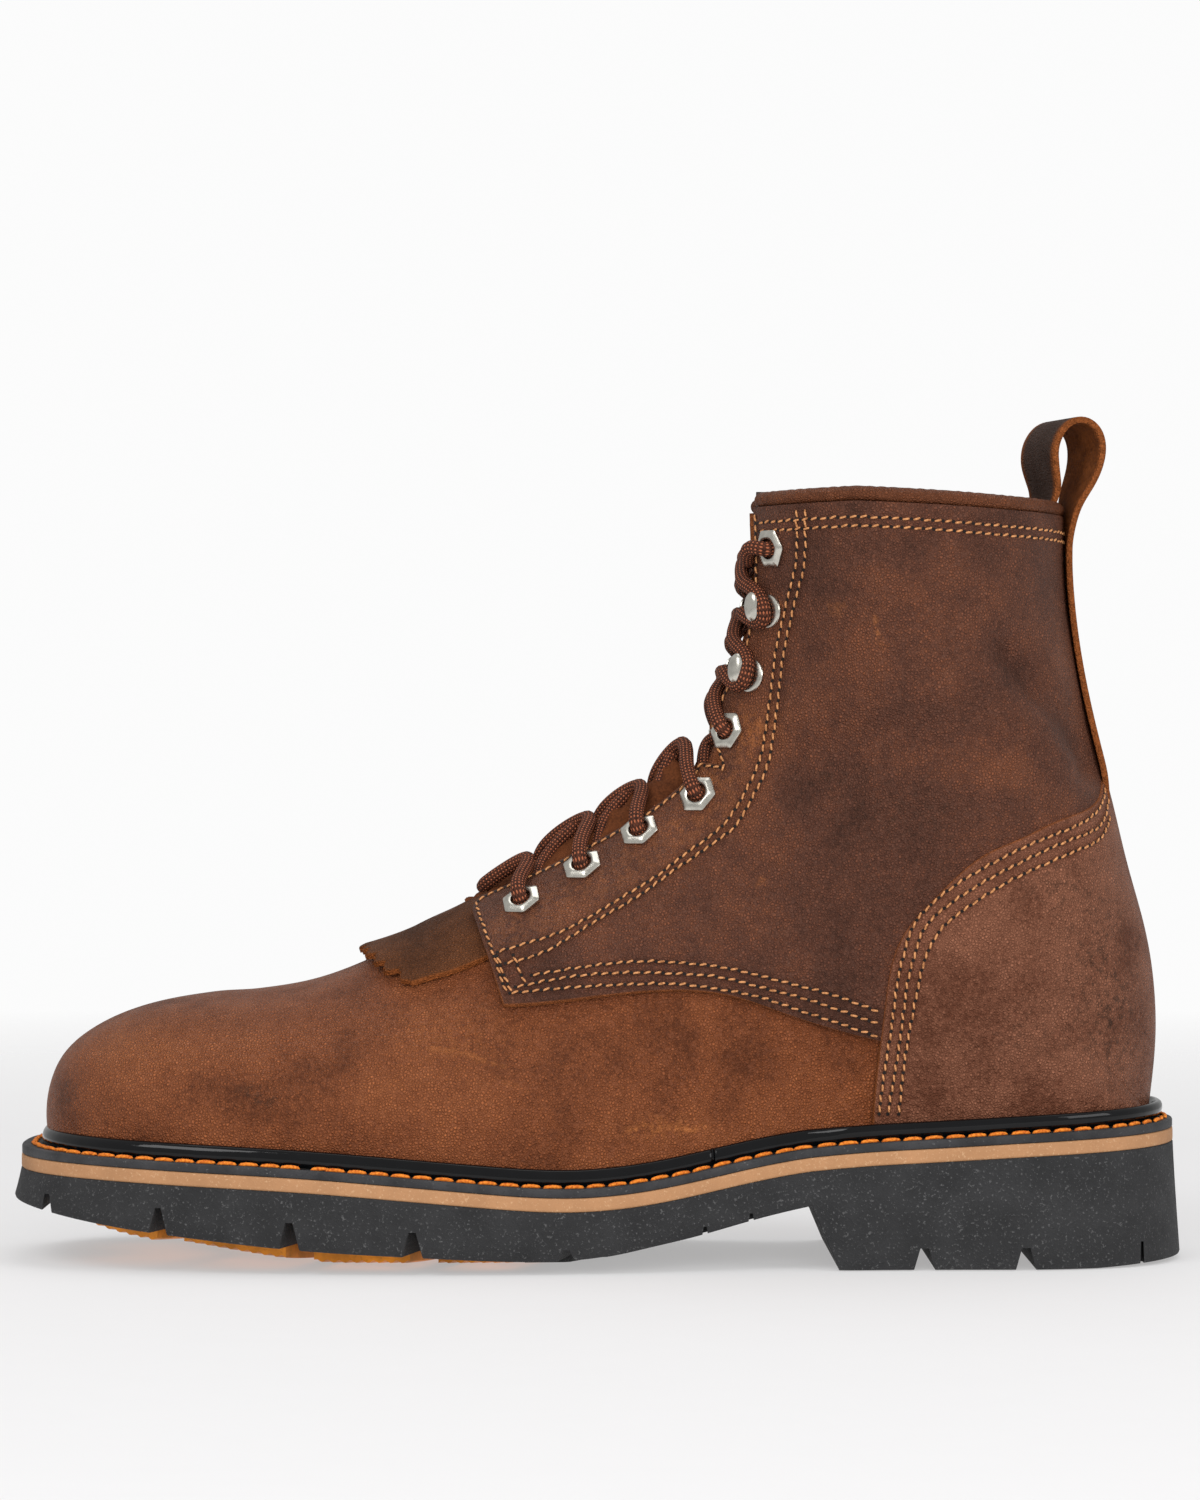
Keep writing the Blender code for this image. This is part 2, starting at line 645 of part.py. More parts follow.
def counter_edge(t, side, back=0.0):
    """Find q on the counter's edge at t, moved up by a small distance."""
    if t <= COUNTER_FIRST or t >= COUNTER_LAST:
        return side * 1.0
    q = LAST.q_at_rise(t, side, np.interp(t, *COUNTER_LINE))
    return q - side * back / float(LAST.half_length(t, side))


def quarter_low(t, side):
    """Find where the quarter ends below at t: its own edge or the counter."""
    if t < QUARTER_LINE[0][-1] - 0.01:
        return LAST.q_at_rise(t, side, np.interp(t, *QUARTER_LINE))
    trim = 0.2 / float(LAST.half_length(t, side))
    edge = counter_edge(t, side, 0.4)
    return side * min(abs(edge), 1.0 - trim)


def build_quarter(side, name):
    """Make one quarter with its eyestay, from the facing to the back seam."""
    facing = [float(LAST.share_of(v, side, facing_half(v))) for v in LATTICE.t]
    below = [quarter_low(v, side) for v in LATTICE.t]
    low, high = (below, facing) if side < 0 else (facing, below)
    cells = LATTICE.cut(low, high, LATTICE.row(THROAT), len(LATTICE.t) - 1)
    return LATTICE.solid(name, cells, OVERLAY_GAP, QUARTER_TOP)


def build_counter():
    """Make the heel counter, one piece around both sides of the heel."""
    first, last = LATTICE.row(COUNTER_FIRST), LATTICE.row(COUNTER_LAST)
    outer = [counter_edge(v, -1) for v in LATTICE.t]
    inner = [counter_edge(v, 1) for v in LATTICE.t]
    raised = 1 - COUNTER_FOOT / np.minimum(LAST.half_length(LATTICE.t, -1), LAST.half_length(LATTICE.t, 1))
    ends = np.where(LATTICE.t < HEEL_END + 0.1, raised, 1.0)
    cells = LATTICE.cut(-ends, outer, first, last) + LATTICE.cut(inner, ends, first, last)
    return LATTICE.solid("counter", cells, OVERLAY_GAP, COUNTER_TOP)


def build_tongue():
    """Make the tongue, a plate behind the throat that just clears the collar."""
    t = np.linspace(THROAT - 0.9, COLLAR, 14)
    cols = 6
    over = np.interp(t, [THROAT - 0.9, 14, COLLAR], [20.0, 23.0, 24.0])
    q = np.stack([np.linspace(LAST.share_of(v, -1, w), LAST.share_of(v, 1, w), cols + 1)
                  for v, w in zip(t, over)])
    grid_t = np.repeat(t[:, None], cols + 1, 1)
    sink = -(WALL + 0.8)
    outer = LAST.at(grid_t, q, np.full_like(q, sink))
    inner = LAST.at(grid_t, q, np.full_like(q, sink - TONGUE))
    crown = np.cos(np.linspace(-1, 1, cols + 1) * math.pi / 2)
    for sheet in (outer, inner):
        sheet[-1, :, 2] += 1.5 + 3.4 * crown
    return shell("tongue", outer.reshape(-1, 3), inner.reshape(-1, 3), grid_faces(len(t), cols + 1))


def kiltie_half(t):
    """Give the kiltie's half width over the surface at t; the tail takes the middle columns."""
    return np.interp(t, [KILTIE_FRONT, 8.3, 9.2, THROAT - 0.10, KILTIE_BACK], [27.0, 34.5, 36.5, 35.3, 30.1])


def kiltie_lift(t):
    """Give how far the kiltie stands off the vamp; the free edge curls up."""
    return 1.35 + 1.85 * np.clip((8.6 - np.asarray(t)) / 0.85, 0, 1) ** 1.6


def build_kiltie():
    """Make the kiltie: a fringed flap over the vamp with a tail in the throat."""
    t = np.array([KILTIE_FRONT, 8.0, 8.3, 8.8, 9.4, THROAT - 0.10, 10.6, 11.6, 12.5, KILTIE_BACK])
    cols = 2 * KILTIE_TEETH
    grid_t = []
    grid_q = []
    for i, v in enumerate(t):
        across = np.linspace(-1, 1, cols + 1)
        at = np.full(cols + 1, v)
        if i == 0:
            bow = 0.95 * across ** 2
            teeth = np.where(np.arange(cols + 1) % 2 == 0, 0.16, 0.0)
            at = v + bow * 0.62 + teeth
        elif v < 8.6:
            at = v + (8.6 - v) / 0.85 * 0.6 * across ** 2
        half = kiltie_half(at)
        grid_t.append(at)
        grid_q.append([float(LAST.share_of(a, -1 if s < 0 else 1, abs(s) * h))
                       for a, s, h in zip(at, across, half)])
    grid_t = np.array(grid_t)
    grid_q = np.array(grid_q)
    lift = kiltie_lift(grid_t)
    outer = LAST.at(grid_t, grid_q, lift + KILTIE).reshape(-1, 3)
    inner = LAST.at(grid_t, grid_q, lift).reshape(-1, 3)
    faces = grid_faces(*grid_t.shape, lambda i, j: t[i] > 9.8 and not 5 <= j < 9)
    return shell("kiltie", outer, inner, faces)


def sweep(name, path, ring, closed=False):
    """Sweep a ring of offsets (frames given with the path) into a solid."""
    points = []
    for place, first, second in path:
        for a, b in ring:
            points.append(place + first * a + second * b)
    count = len(ring)
    faces = []
    steps = len(path)
    for i in range(steps if closed else steps - 1):
        for j in range(count):
            k = (j + 1) % count
            n = (i + 1) % steps
            faces.append((i * count + j, i * count + k, n * count + k, n * count + j))
    if not closed:
        faces.append(tuple(range(count)))
        faces.append(tuple(range((steps - 1) * count, steps * count)))
    return object_from(name, np.array(points), faces)


def circle(radius, sides):
    """List a ring of offsets around a circle."""
    turn = np.linspace(0, 2 * math.pi, sides, endpoint=False)
    return [(radius * math.cos(v), radius * math.sin(v)) for v in turn]


def framed(points, up):
    """Give each point of a path two directions square to the path."""
    points = np.asarray(points)
    along = np.gradient(points, axis=0)
    along /= np.linalg.norm(along, axis=1)[:, None]
    frames = []
    for place, tangent, hint in zip(points, along, up):
        first = hint - tangent * np.dot(hint, tangent)
        first /= np.linalg.norm(first)
        frames.append((place, first, np.cross(tangent, first)))
    return frames


def build_piping():
    """Make the rolled piping along the collar, open at the throat."""
    half = float(facing_half(COLLAR))
    left = float(LAST.share_of(COLLAR, -1, half))
    right = float(LAST.share_of(COLLAR, 1, half))
    q = np.concatenate([np.linspace(left, -1, 15), np.linspace(1, right, 15)[1:]])
    points = LAST.at(np.full_like(q, COLLAR), q, np.full_like(q, 0.1))
    points[:, 2] = COLLAR_Z + GAP + PIPING_RADIUS
    up = [np.array([0, 0, 1.0])] * len(points)
    return sweep("collar_piping", framed(points, up), circle(PIPING_RADIUS, 6))


def build_strap():
    """Make the pull strap: a loop at the collar that runs down the back."""
    key = np.arange(len(LOOP))
    fine = np.linspace(0, len(LOOP) - 1, 20)
    xs = list(spline(key, column(LOOP, "x"))(fine))
    zs = list(spline(key, column(LOOP, "z"))(fine))
    skew = list(spline(key, column(LOOP, "skew"))(fine))
    ride = QUARTER_TOP + 0.95 + STRAP / 2
    for z in np.linspace(178, 129.5, 7):
        xs.append(float(back_of(z)) + ride)
        zs.append(float(z))
        skew.append(0.0)
    middle = np.stack([xs, np.zeros(len(xs)), zs], 1)
    along = np.gradient(middle, axis=0)
    points = []
    count = 0
    across = (-1.0, -0.5, 0.0, 0.5, 1.0)
    for place, tangent, lean in zip(middle, along, skew):
        out = np.array([-tangent[2], 0.0, tangent[0]])
        out /= np.linalg.norm(out)
        low = place[2] < 186 and count > 8
        ring = []
        for face in (1, -1):
            for a in across if face > 0 else reversed(across):
                y = a * STRAP_WIDTH / 2
                wrap = -(y * y) / 68.0 if low else 0.0
                lift = out * face * STRAP / 2
                ring.append(place + lift + np.array([wrap - y * LOOP_SKEW * lean, y, 0.0]))
        points.append(ring)
        count += 1
    size = len(points[0])
    faces = []
    for i in range(len(points) - 1):
        for j in range(size):
            k = (j + 1) % size
            faces.append((i * size + j, i * size + k, (i + 1) * size + k, (i + 1) * size + j))
    faces.append(tuple(range(size)))
    faces.append(tuple(range((len(points) - 1) * size, len(points) * size)))
    return object_from("pull_strap", np.concatenate([np.array(r) for r in points]), faces)


def eyelet_place(number, side):
    """Give the middle of an eyelet on the quarter and its outward normal."""
    t, rise = EYELET_PLACES[number]
    q = LAST.q_at_rise(t, -1, rise)
    over = abs(q) * float(LAST.half_length(t, -1))
    q = float(LAST.share_of(t, side, over))
    return t, q


def hardware_frame(number, side):
    """Give the place of an eyelet or hook, its up, its side and its normal."""
    t, q = eyelet_place(number, side)
    place = LAST.at(t, q, QUARTER_TOP + GAP)
    out = LAST.normal(t, q)
    first = LAST.at(t + 0.05, q) - LAST.at(t - 0.05, q)
    first -= out * np.dot(first, out)
    first /= np.linalg.norm(first)
    return place, first, np.cross(out, first), out


def prism(name, place, ring, first, second, out, low, high):
    """Make a plate from a ring of offsets between two heights."""
    points = [place + first * a + second * b + out * h for h in (low, high) for a, b in ring]
    size = len(ring)
    faces = [tuple(range(size)), tuple(range(size, 2 * size))]
    for i in range(size):
        k = (i + 1) % size
        faces.append((i, k, size + k, size + i))
    return object_from(name, np.array(points), faces)


def build_hook(number, side, name):
    """Make one lace hook: a round base, a neck on the throat side and a lip."""
    place, first, second, out = hardware_frame(number, side)
    t, q = eyelet_place(number, side)
    toward = np.sign(np.dot(LAST.at(t, q * 0.9) - LAST.at(t, q), second))
    neck = [(a, toward * (HOOK_NECK + b)) for a, b in ((-1.0, -0.5), (1.0, -0.5), (1.0, 0.5), (-1.0, 0.5))]
    hook = prism(name, place, circle(HOOK_BASE / 2, 9), first, second, out, 0.0, EYELET_THICK)
    combine(hook, prism("neck", place, neck, first, second, out, 0.5, HOOK_REACH + 0.5), "UNION")
    lip = circle(HOOK_LIP / 2, 9)
    combine(hook, prism("lip", place, lip, first, second, out, HOOK_REACH, HOOK_REACH + 1.0), "UNION")
    return hook


def build_eyelet(number, side, name):
    """Make one six-sided eyelet with a round hole."""
    place, first, second, out = hardware_frame(number, side)
    points = []
    profile = [
        (EYELET_ACROSS / 2, 0.0), (EYELET_ACROSS / 2 - 0.6, EYELET_THICK),
        (EYELET_HOLE / 2, EYELET_THICK), (EYELET_HOLE / 2, 0.0),
    ]
    for i in range(6):
        turn = math.radians(60 * i)
        spoke = first * math.cos(turn) + second * math.sin(turn)
        for radius, height in profile:
            points.append(place + spoke * radius + out * height)
    size = len(profile)
    faces = []
    for i in range(6):
        for j in range(size):
            k = (j + 1) % size
            n = (i + 1) % 6
            faces.append((i * size + j, i * size + k, n * size + k, n * size + j))
    return object_from(name, np.array(points), faces)


def lace_path(first_side):
    """Trace one half of the lace, crossing the throat at every row."""
    points = []
    up = []
    rest = QUARTER_TOP + GAP + EYELET_THICK + GAP + LACE_RADIUS
    side = first_side
    for number in range(len(EYELETS) - 1):
        t0, q0 = eyelet_place(number, side)
        t1, q1 = eyelet_place(number + 1, -side)
        if number in HOOK_ROWS:
            run = HOOK_RUN / np.linalg.norm(LAST.at(t0 + 0.5, q0) - LAST.at(t0 - 0.5, q0))
            for t in (t0 - run, t0):
                points.append(LAST.at(t, q0, rest))
                up.append(LAST.normal(t, q0))
            t0 += run
        if number + 1 in HOOK_ROWS:
            t1 -= HOOK_RUN / np.linalg.norm(LAST.at(t1 + 0.5, q1) - LAST.at(t1 - 0.5, q1))
        for share in np.linspace(0, 1, 6)[:-1]:
            t = t0 + (t1 - t0) * share
            q = q0 + (q1 - q0) * share
            lift = rest + 0.9 * math.sin(math.pi * share)
            points.append(LAST.at(t, q, lift))
            up.append(LAST.normal(t, q))
        side = -side
    t, q = eyelet_place(len(EYELETS) - 1, side)
    points.append(LAST.at(t, q, rest))
    up.append(LAST.normal(t, q))
    return framed(points, up)


def combine(target, other, operation):
    """Apply one boolean and take the cutter away."""
    other.hide_render = True
    other.display_type = "WIRE"
    step = target.modifiers.new("combine", "BOOLEAN")
    step.operation = operation
    step.solver = "EXACT"
    step.object = other
    depsgraph = bpy.context.evaluated_depsgraph_get()
    mesh = bpy.data.meshes.new_from_object(target.evaluated_get(depsgraph))
    target.modifiers.clear()
    old = target.data
    target.data = mesh
    bpy.data.meshes.remove(old)
    bpy.data.objects.remove(other)


def build_lace():
    """Make the lace: two zigzags joined where they cross."""
    one = sweep("lace", lace_path(-1), circle(LACE_RADIUS, 5))
    two = sweep("lace_other", lace_path(1), circle(LACE_RADIUS, 5))
    combine(one, two, "UNION")
    return one


def outline(mid=15, toe=9, heel=7):
    """List the feather line from toe to heel, outer side then inner side."""
    toe_turn = np.linspace(0, math.pi / 2, toe, endpoint=False)
    toe_x = TOE_CENTRE - (TOE_CENTRE - TOE_TIP) * np.cos(toe_turn) ** (2 / TOE_POWER)
    body = np.unique(np.concatenate([
        np.linspace(TOE_CENTRE, BREAST_TOP, mid - 4), np.linspace(BREAST_FOOT, HEEL_CENTRE, 4)]))
    heel_turn = np.linspace(0, math.pi / 2, heel + 1)[1:]
    heel_x = HEEL_CENTRE + (HEEL_TIP - HEEL_CENTRE) * np.sin(heel_turn) ** (2 / HEEL_POWER)
    x = np.concatenate([toe_x, body, heel_x])
    half = feather_half(x)
    middle = feather_centre(x)
    outer = np.stack([x, middle - half], 1)
    inner = np.stack([x, middle + half], 1)
    return x, np.concatenate([outer, inner[1:-1][::-1]])


def grow(ring, by):
    """Move a closed plan outline outward by a distance at each point."""
    along = np.roll(ring, -1, 0) - np.roll(ring, 1, 0)
    out = np.stack([-along[:, 1], along[:, 0]], 1)
    out /= np.linalg.norm(out, axis=1)[:, None]
    middle = ring.mean(0)
    if np.sum((ring - middle) * out) < 0:
        out = -out
    return ring + out * np.asarray(by)[:, None]


def heel_share(x):
    """Ease from 0 ahead of the counter to 1 beside it."""
    s = np.clip((np.asarray(x) - 52.0) / 14.0, 0, 1)
    return s * s * (3 - 2 * s)


def ring_x(x):
    """Give the station of every point of a closed outline."""
    return np.concatenate([x, x[1:-1][::-1]])


def sole_edge(x):
    """Give how far the sole's edge stands outside the feather line."""
    return 6.4 + 2.3 * heel_share(x)


def cap_faces(count, half, start, flip):
    """Close a ring with strips between its two sides."""
    faces = []
    for i in range(half - 1):
        a = start + i
        b = start + i + 1
        c = start + (count - i - 1) % count
        d = start + (count - i) % count
        ring = []
        for v in (a, b, c, d):
            if v not in ring:
                ring.append(v)
        if len(ring) > 2:
            faces.append(tuple(reversed(ring)) if flip else tuple(ring))
    return faces


def stack(name, x, rings):
    """Make a solid from closed rings, the lowest first."""
    count = len(rings[0])
    faces = []
    for i in range(len(rings) - 1):
        for j in range(count):
            k = (j + 1) % count
            faces.append((i * count + j, i * count + k, (i + 1) * count + k, (i + 1) * count + j))
    half = len(x)
    faces += cap_faces(count, half, 0, True)
    faces += cap_faces(count, half, (len(rings) - 1) * count, False)
    return object_from(name, np.concatenate(rings), faces)


def lifted(ring, height):
    """Set a plan ring at a height."""
    return np.concatenate([ring, np.asarray(height)[:, None]], 1)


def under_of(x):
    """Give the outsole's lower rim: forefoot, breast or heel."""
    return np.where(x <= BREAST_TOP + 0.01, rim_under(np.minimum(x, BREAST_TOP)),
                    np.maximum(heel_under(np.maximum(x, BREAST_FOOT)), 0.0))


def chevron(x_edge, y):
    """Slant a tread line toward the heel at the middle of the sole."""
    return x_edge + CHEVRON * (1 - np.minimum(np.abs(np.asarray(y, float)) / 52.0, 1.0))


def groove_cutter(groove, slanted):
    """Make the tapered bar that opens one groove across the sole."""
    ys = (-66.0, -26.0, 0.0, 26.0, 66.0) if slanted else (-60.0, 60.0)
    points = []
    for y in ys:
        x = float(chevron(groove.x, y)) if slanted else groove.x
        low = float(rim_under(x)) if slanted else 0.0
        points += [
            (x - groove.base / 2 - 0.8, y, low - 8), (x + groove.base / 2 + 0.8, y, low - 8),
            (x + groove.top / 2, y, low + groove.rise), (x - groove.top / 2, y, low + groove.rise),
        ]
    faces = [(0, 1, 2, 3)]
    for i in range(len(ys) - 1):
        for j in range(4):
            k = (j + 1) % 4
            faces.append((i * 4 + j, i * 4 + k, i * 4 + 4 + k, i * 4 + 4 + j))
    last = 4 * (len(ys) - 1)
    faces.append((last, last + 1, last + 2, last + 3))
    return object_from("groove", np.array(points), faces)


def pad_solid(name, pad, top_gap):
    """Make one slanted tread pad that hangs under the forefoot."""
    shares = np.linspace(-1, 1, 7)
    rows = np.linspace(pad.front, pad.rear, 3)
    top = []
    low = []
    for edge in rows:
        for share in shares:
            x = edge + CHEVRON * (1 - abs(share) * 0.8)
            half = float(feather_half(np.clip(edge, -143.0, 100.0))) + 6.4 - PAD_INSET
            y = float(feather_centre(edge)) + share * half
            top.append((x, y, float(rim_under(x)) - top_gap))
            low.append((x, y * 0.97, float(tread(x))))
    return shell(name, np.array(low), np.array(top), grid_faces(len(rows), len(shares)))


def build_outsole():
    """Make the outsole with its heel, flared wall, grooves and ball lug."""
    x, ring = outline()
    at = ring_x(x)
    edge = grow(ring, sole_edge(at))
    flare = 0.6 + 1.9 * np.clip((at - 40) / 70, 0, 1) + 1.5 * np.clip((-at - 110) / 40, 0, 1)
    foot = grow(edge, flare)
    tuck = grow(edge, flare - 1.6)
    under = under_of(np.where(at < 0, foot[:, 0], at))
    rings = [
        lifted(tuck, under),
        lifted(foot, under + 1.3),
        lifted(edge, outsole_top(at)),
    ]
    sole = stack("outsole", x, rings)
    combine(sole, pad_solid("ball_lug", BALL_LUG, -1.5), "UNION")
    for groove in FORE_GROOVES:
        combine(sole, groove_cutter(groove, True), "DIFFERENCE")
    for groove in HEEL_GROOVES:
        combine(sole, groove_cutter(groove, False), "DIFFERENCE")
    return sole


def build_midsole():
    """Make the tan midsole plate."""
    x, ring = outline()
    at = ring_x(x)
    edge = grow(ring, sole_edge(at) - 0.1)
    low = lifted(edge, outsole_top(at) + 0.2)
    high = lifted(edge, midsole_top(at))
    return stack("midsole", x, [low, high])


def build_welt():
    """Make the welt: a stitched ledge with the storm bead on its inner side."""
    x, ring = outline()
    at = ring_x(x)
    edge = sole_edge(at) - 0.3
    snug = 0.55 + 3.1 * heel_share(at) + 0.85 * np.clip((-at - 30) / 30, 0, 1)
    base = midsole_top(at) + 0.3
    ledge = base + FLANGE
    lean = 1.3 * heel_share(at)
    profile = [
        (edge, base), (edge, ledge), (snug + 1.3, ledge - 0.1), (snug + 1.6 + lean / 2, ledge + 2.0),
        (snug + 0.5 + lean, ledge + BEAD), (snug, ledge - 0.9),
        (np.full_like(at, -8.0), ledge - 0.9), (np.full_like(at, -8.0), base),
    ]
    rings = [lifted(grow(ring, offset), height) for offset, height in profile]
    count = len(ring)
    faces = []
    for i in range(len(rings)):
        n = (i + 1) % len(rings)
        for j in range(count):
            k = (j + 1) % count
            faces.append((i * count + j, i * count + k, n * count + k, n * count + j))
    return object_from("welt", np.concatenate(rings), faces)


def build_insole():
    """Make the insole that lies inside the upper on the welt."""
    x, ring = outline()
    at = ring_x(x)
    edge = grow(ring, -(WALL + 1.8 + 1.2 * heel_share(at)))
    low = lifted(edge, welt_top(at) - 0.6)
    high = lifted(edge, welt_top(at) - 0.6 + INSOLE)
    return stack("insole", x, [low, high])


def main():
    """Clear the file and build every piece of the boot."""
    for thing in list(bpy.data.objects):
        bpy.data.objects.remove(thing)
    build_outsole()
    for number, pad in enumerate(PADS, 1):
        pad_solid("tread_pad_%d" % number, pad, 0.5)
    build_midsole()
    build_welt()
    build_insole()
    build_upper()
    build_tongue()
    build_quarter(-1, "quarter_lateral")
    build_quarter(1, "quarter_medial")
    build_counter()
    build_piping()
    build_strap()
    build_kiltie()
    holes = [number for number in range(len(EYELETS)) if number not in HOOK_ROWS]
    for side, word in ((-1, "lateral"), (1, "medial")):
        for place, number in enumerate(holes, 1):
            build_eyelet(number, side, "eyelet_%s_%d" % (word, place))
        for place, number in enumerate(HOOK_ROWS, 1):
            build_hook(number, side, "hook_%s_%d" % (word, place))
    build_lace()


main()
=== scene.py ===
"""Looks of the left kiltie work boot.

Fine leather, seams, lace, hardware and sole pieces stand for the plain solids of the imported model,
in the same frame: the toe points to -X, the outer side to -Y and up is +Z. Sizes are in millimetres
and meshes in metres. The leather pieces are cut from one surface, the last, as the solids are.
"""

import logging
import math
from dataclasses import dataclass, field
from enum import Enum
from typing import Callable, NamedTuple, Optional, Sequence

import bmesh
import bpy
import numpy as np
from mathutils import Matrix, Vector

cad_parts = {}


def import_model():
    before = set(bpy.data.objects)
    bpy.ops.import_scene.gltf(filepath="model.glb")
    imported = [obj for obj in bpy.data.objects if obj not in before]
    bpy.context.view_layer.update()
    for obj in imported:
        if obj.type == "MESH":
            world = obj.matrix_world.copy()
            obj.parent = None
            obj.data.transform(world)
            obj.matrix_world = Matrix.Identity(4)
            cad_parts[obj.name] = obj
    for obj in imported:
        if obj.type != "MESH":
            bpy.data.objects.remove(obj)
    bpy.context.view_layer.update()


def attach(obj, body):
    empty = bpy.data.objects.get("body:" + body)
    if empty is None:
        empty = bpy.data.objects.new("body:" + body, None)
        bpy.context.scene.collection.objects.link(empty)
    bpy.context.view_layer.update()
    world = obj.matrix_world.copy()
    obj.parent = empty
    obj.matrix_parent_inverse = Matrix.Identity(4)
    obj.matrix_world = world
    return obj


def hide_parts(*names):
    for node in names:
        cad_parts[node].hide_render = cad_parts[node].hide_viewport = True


LOG = logging.getLogger("work_boot")
MM = 0.001
THROAT, HEEL_END, COLLAR = 10.0, 17.0, 23.0
Array = np.ndarray
Colour = tuple[float, float, float]
Curve = Callable[[Array], Array]
Line = Sequence[tuple[float, float]]
Rows = tuple[tuple[float, float], ...]
Frame = tuple[Array, Array, Array, Array]
Piece = bpy.types.Object
Socket = bpy.types.NodeSocket


class Side(Enum):
    """The two sides of the boot, as signs of Y."""

    OUTER = -1
    INNER = 1


class Slot(Enum):
    """The record's material slots."""

    RUBBER = "rubber_black"
    AMBER = "rubber_amber"
    MIDSOLE = "midsole_tan"
    WELT = "welt_black"
    INSOLE = "insole"
    VAMP = "vamp_leather"
    SHAFT = "shaft_leather"
    COUNTER = "counter_leather"
    KILTIE = "kiltie_leather"
    TONGUE = "tongue_leather"
    LACE = "lace"
    NICKEL = "nickel"


# Curves and small mesh tools.


def spline(keys: Sequence[float], values: Sequence[float], level: bool = False) -> Curve:
    """Make a natural cubic spline, or one with level ends.

    Args:
        keys: rising places of the rows.
        values: the value at each place.
        level: True for level ends.

    Returns:
        A function that reads the spline.
    """
    k = np.asarray(keys, float)
    v = np.asarray(values, float)
    h = np.diff(k)
    slope = np.diff(v) / h
    n = len(k)
    lhs = np.eye(n)
    rhs = np.zeros(n)
    for i in range(1, n - 1):
        lhs[i, i - 1:i + 2] = h[i - 1], 2 * (h[i - 1] + h[i]), h[i]
        rhs[i] = 6 * (slope[i] - slope[i - 1])
    if level:
        lhs[0, :2] = 2 * h[0], h[0]
        rhs[0] = 6 * slope[0]
        lhs[-1, -2:] = h[-1], 2 * h[-1]
        rhs[-1] = -6 * slope[-1]
    m = np.linalg.solve(lhs, rhs)

    def read(at: Array) -> Array:
        """Read the spline at one or more places.

        Args:
            at: the places.

        Returns:
            The values there.
        """
        at = np.asarray(at, float)
        i = np.clip(np.searchsorted(k, at) - 1, 0, n - 2)
        d = at - k[i]
        run = slope[i] - h[i] * (2 * m[i] + m[i + 1]) / 6
        return v[i] + d * run + d ** 2 * m[i] / 2 + d ** 3 * (m[i + 1] - m[i]) / (6 * h[i])

    return read


def pairs_spline(rows: Line, level: bool = False) -> Curve:
    """Make a spline from (place, value) rows."""
    return spline(*zip(*rows), level)


def smooth(value: Array) -> Array:
    """Ease a share from 0 to 1."""
    s = np.clip(value, 0.0, 1.0)
    return s * s * (3 - 2 * s)


def unit(vectors: Array) -> Array:
    """Scale vectors to length one."""
    return vectors / np.maximum(np.linalg.norm(vectors, axis=-1), 1e-12)[..., None]


def superellipse(share: Array, power: float) -> Array:
    """Give the half width left at a share of the way to the tip."""
    return np.clip(1.0 - np.abs(share) ** power, 0.0, 1.0) ** (1.0 / power)


def line_distance(x: Array, z: Array, line: Line) -> Array:
    """Give the distance of side-view places from a broken line.

    Args:
        x: places along the boot.
        z: their heights.
        line: (x, z) points of the line.

    Returns:
        The distances.
    """
    near = np.full(np.shape(x), 1e9)
    for a, b in zip(line[:-1], line[1:]):
        run, climb = b[0] - a[0], b[1] - a[1]
        share = np.clip(((x - a[0]) * run + (z - a[1]) * climb) / (run ** 2 + climb ** 2), 0, 1)
        near = np.minimum(near, np.hypot(x - a[0] - share * run, z - a[1] - share * climb))
    return near


def quads(rows: int, cols: int, start: int = 0, ring: bool = False) -> list[tuple[int, int, int, int]]:
    """List the faces of a grid of points.

    Args:
        rows: number of rows.
        cols: points in a row.
        start: index of the first point.
        ring: True if each row closes on itself.

    Returns:
        Corner indices of each face.
    """
    faces = []
    for i in range(rows - 1):
        for j in range(cols if ring else cols - 1):
            a = start + i * cols + j
            b = start + i * cols + (j + 1) % cols
            faces.append((a, b, b + cols, a + cols))
    return faces


def arc_of(points: Array) -> Array:
    """Give the length of a polyline up to each of its points."""
    return np.concatenate([[0], np.cumsum(np.linalg.norm(np.diff(points, axis=0), axis=1))])


def around(count: int) -> Array:
    """Give evenly spaced angles of a full turn."""
    return np.linspace(0, math.tau, count, endpoint=False)


def along_path(points: Array, pitch: float) -> Array:
    """Space places evenly along a polyline.

    Args:
        points: the polyline.
        pitch: distance between places.

    Returns:
        Fractional indices of the places.
    """
    arc = arc_of(points)
    count = max(2, int(round(arc[-1] / pitch)) + 1)
    return np.interp(np.linspace(0, arc[-1], count), arc, np.arange(len(points)))


def take(rows: Array, index: Array) -> Array:
    """Read an array between its rows.

    Args:
        rows: the array.
        index: fractional indices of rows.

    Returns:
        The values there.
    """
    low = np.clip(index.astype(int), 0, len(rows) - 2)
    share = (index - low)[:, None]
    return rows[low] * (1 - share) + rows[low + 1] * share


def round_path(points: Array, count: int) -> Array:
    """Run a smooth curve through a few points.

    Args:
        points: the points, in order.
        count: how many points to give back.

    Returns:
        Evenly spaced points on the curve.
    """
    step = np.linalg.norm(np.diff(points, axis=0), axis=1)
    key = np.concatenate([[0], np.cumsum(np.sqrt(np.maximum(step, 1e-6)))])
    fine = np.linspace(0, key[-1], count * 4)
    path = np.stack([spline(key, points[:, i])(fine) for i in range(3)], 1)
    arc = arc_of(path)
    even = np.linspace(0, arc[-1], count)
    return np.stack([np.interp(even, arc, path[:, i]) for i in range(3)], 1)


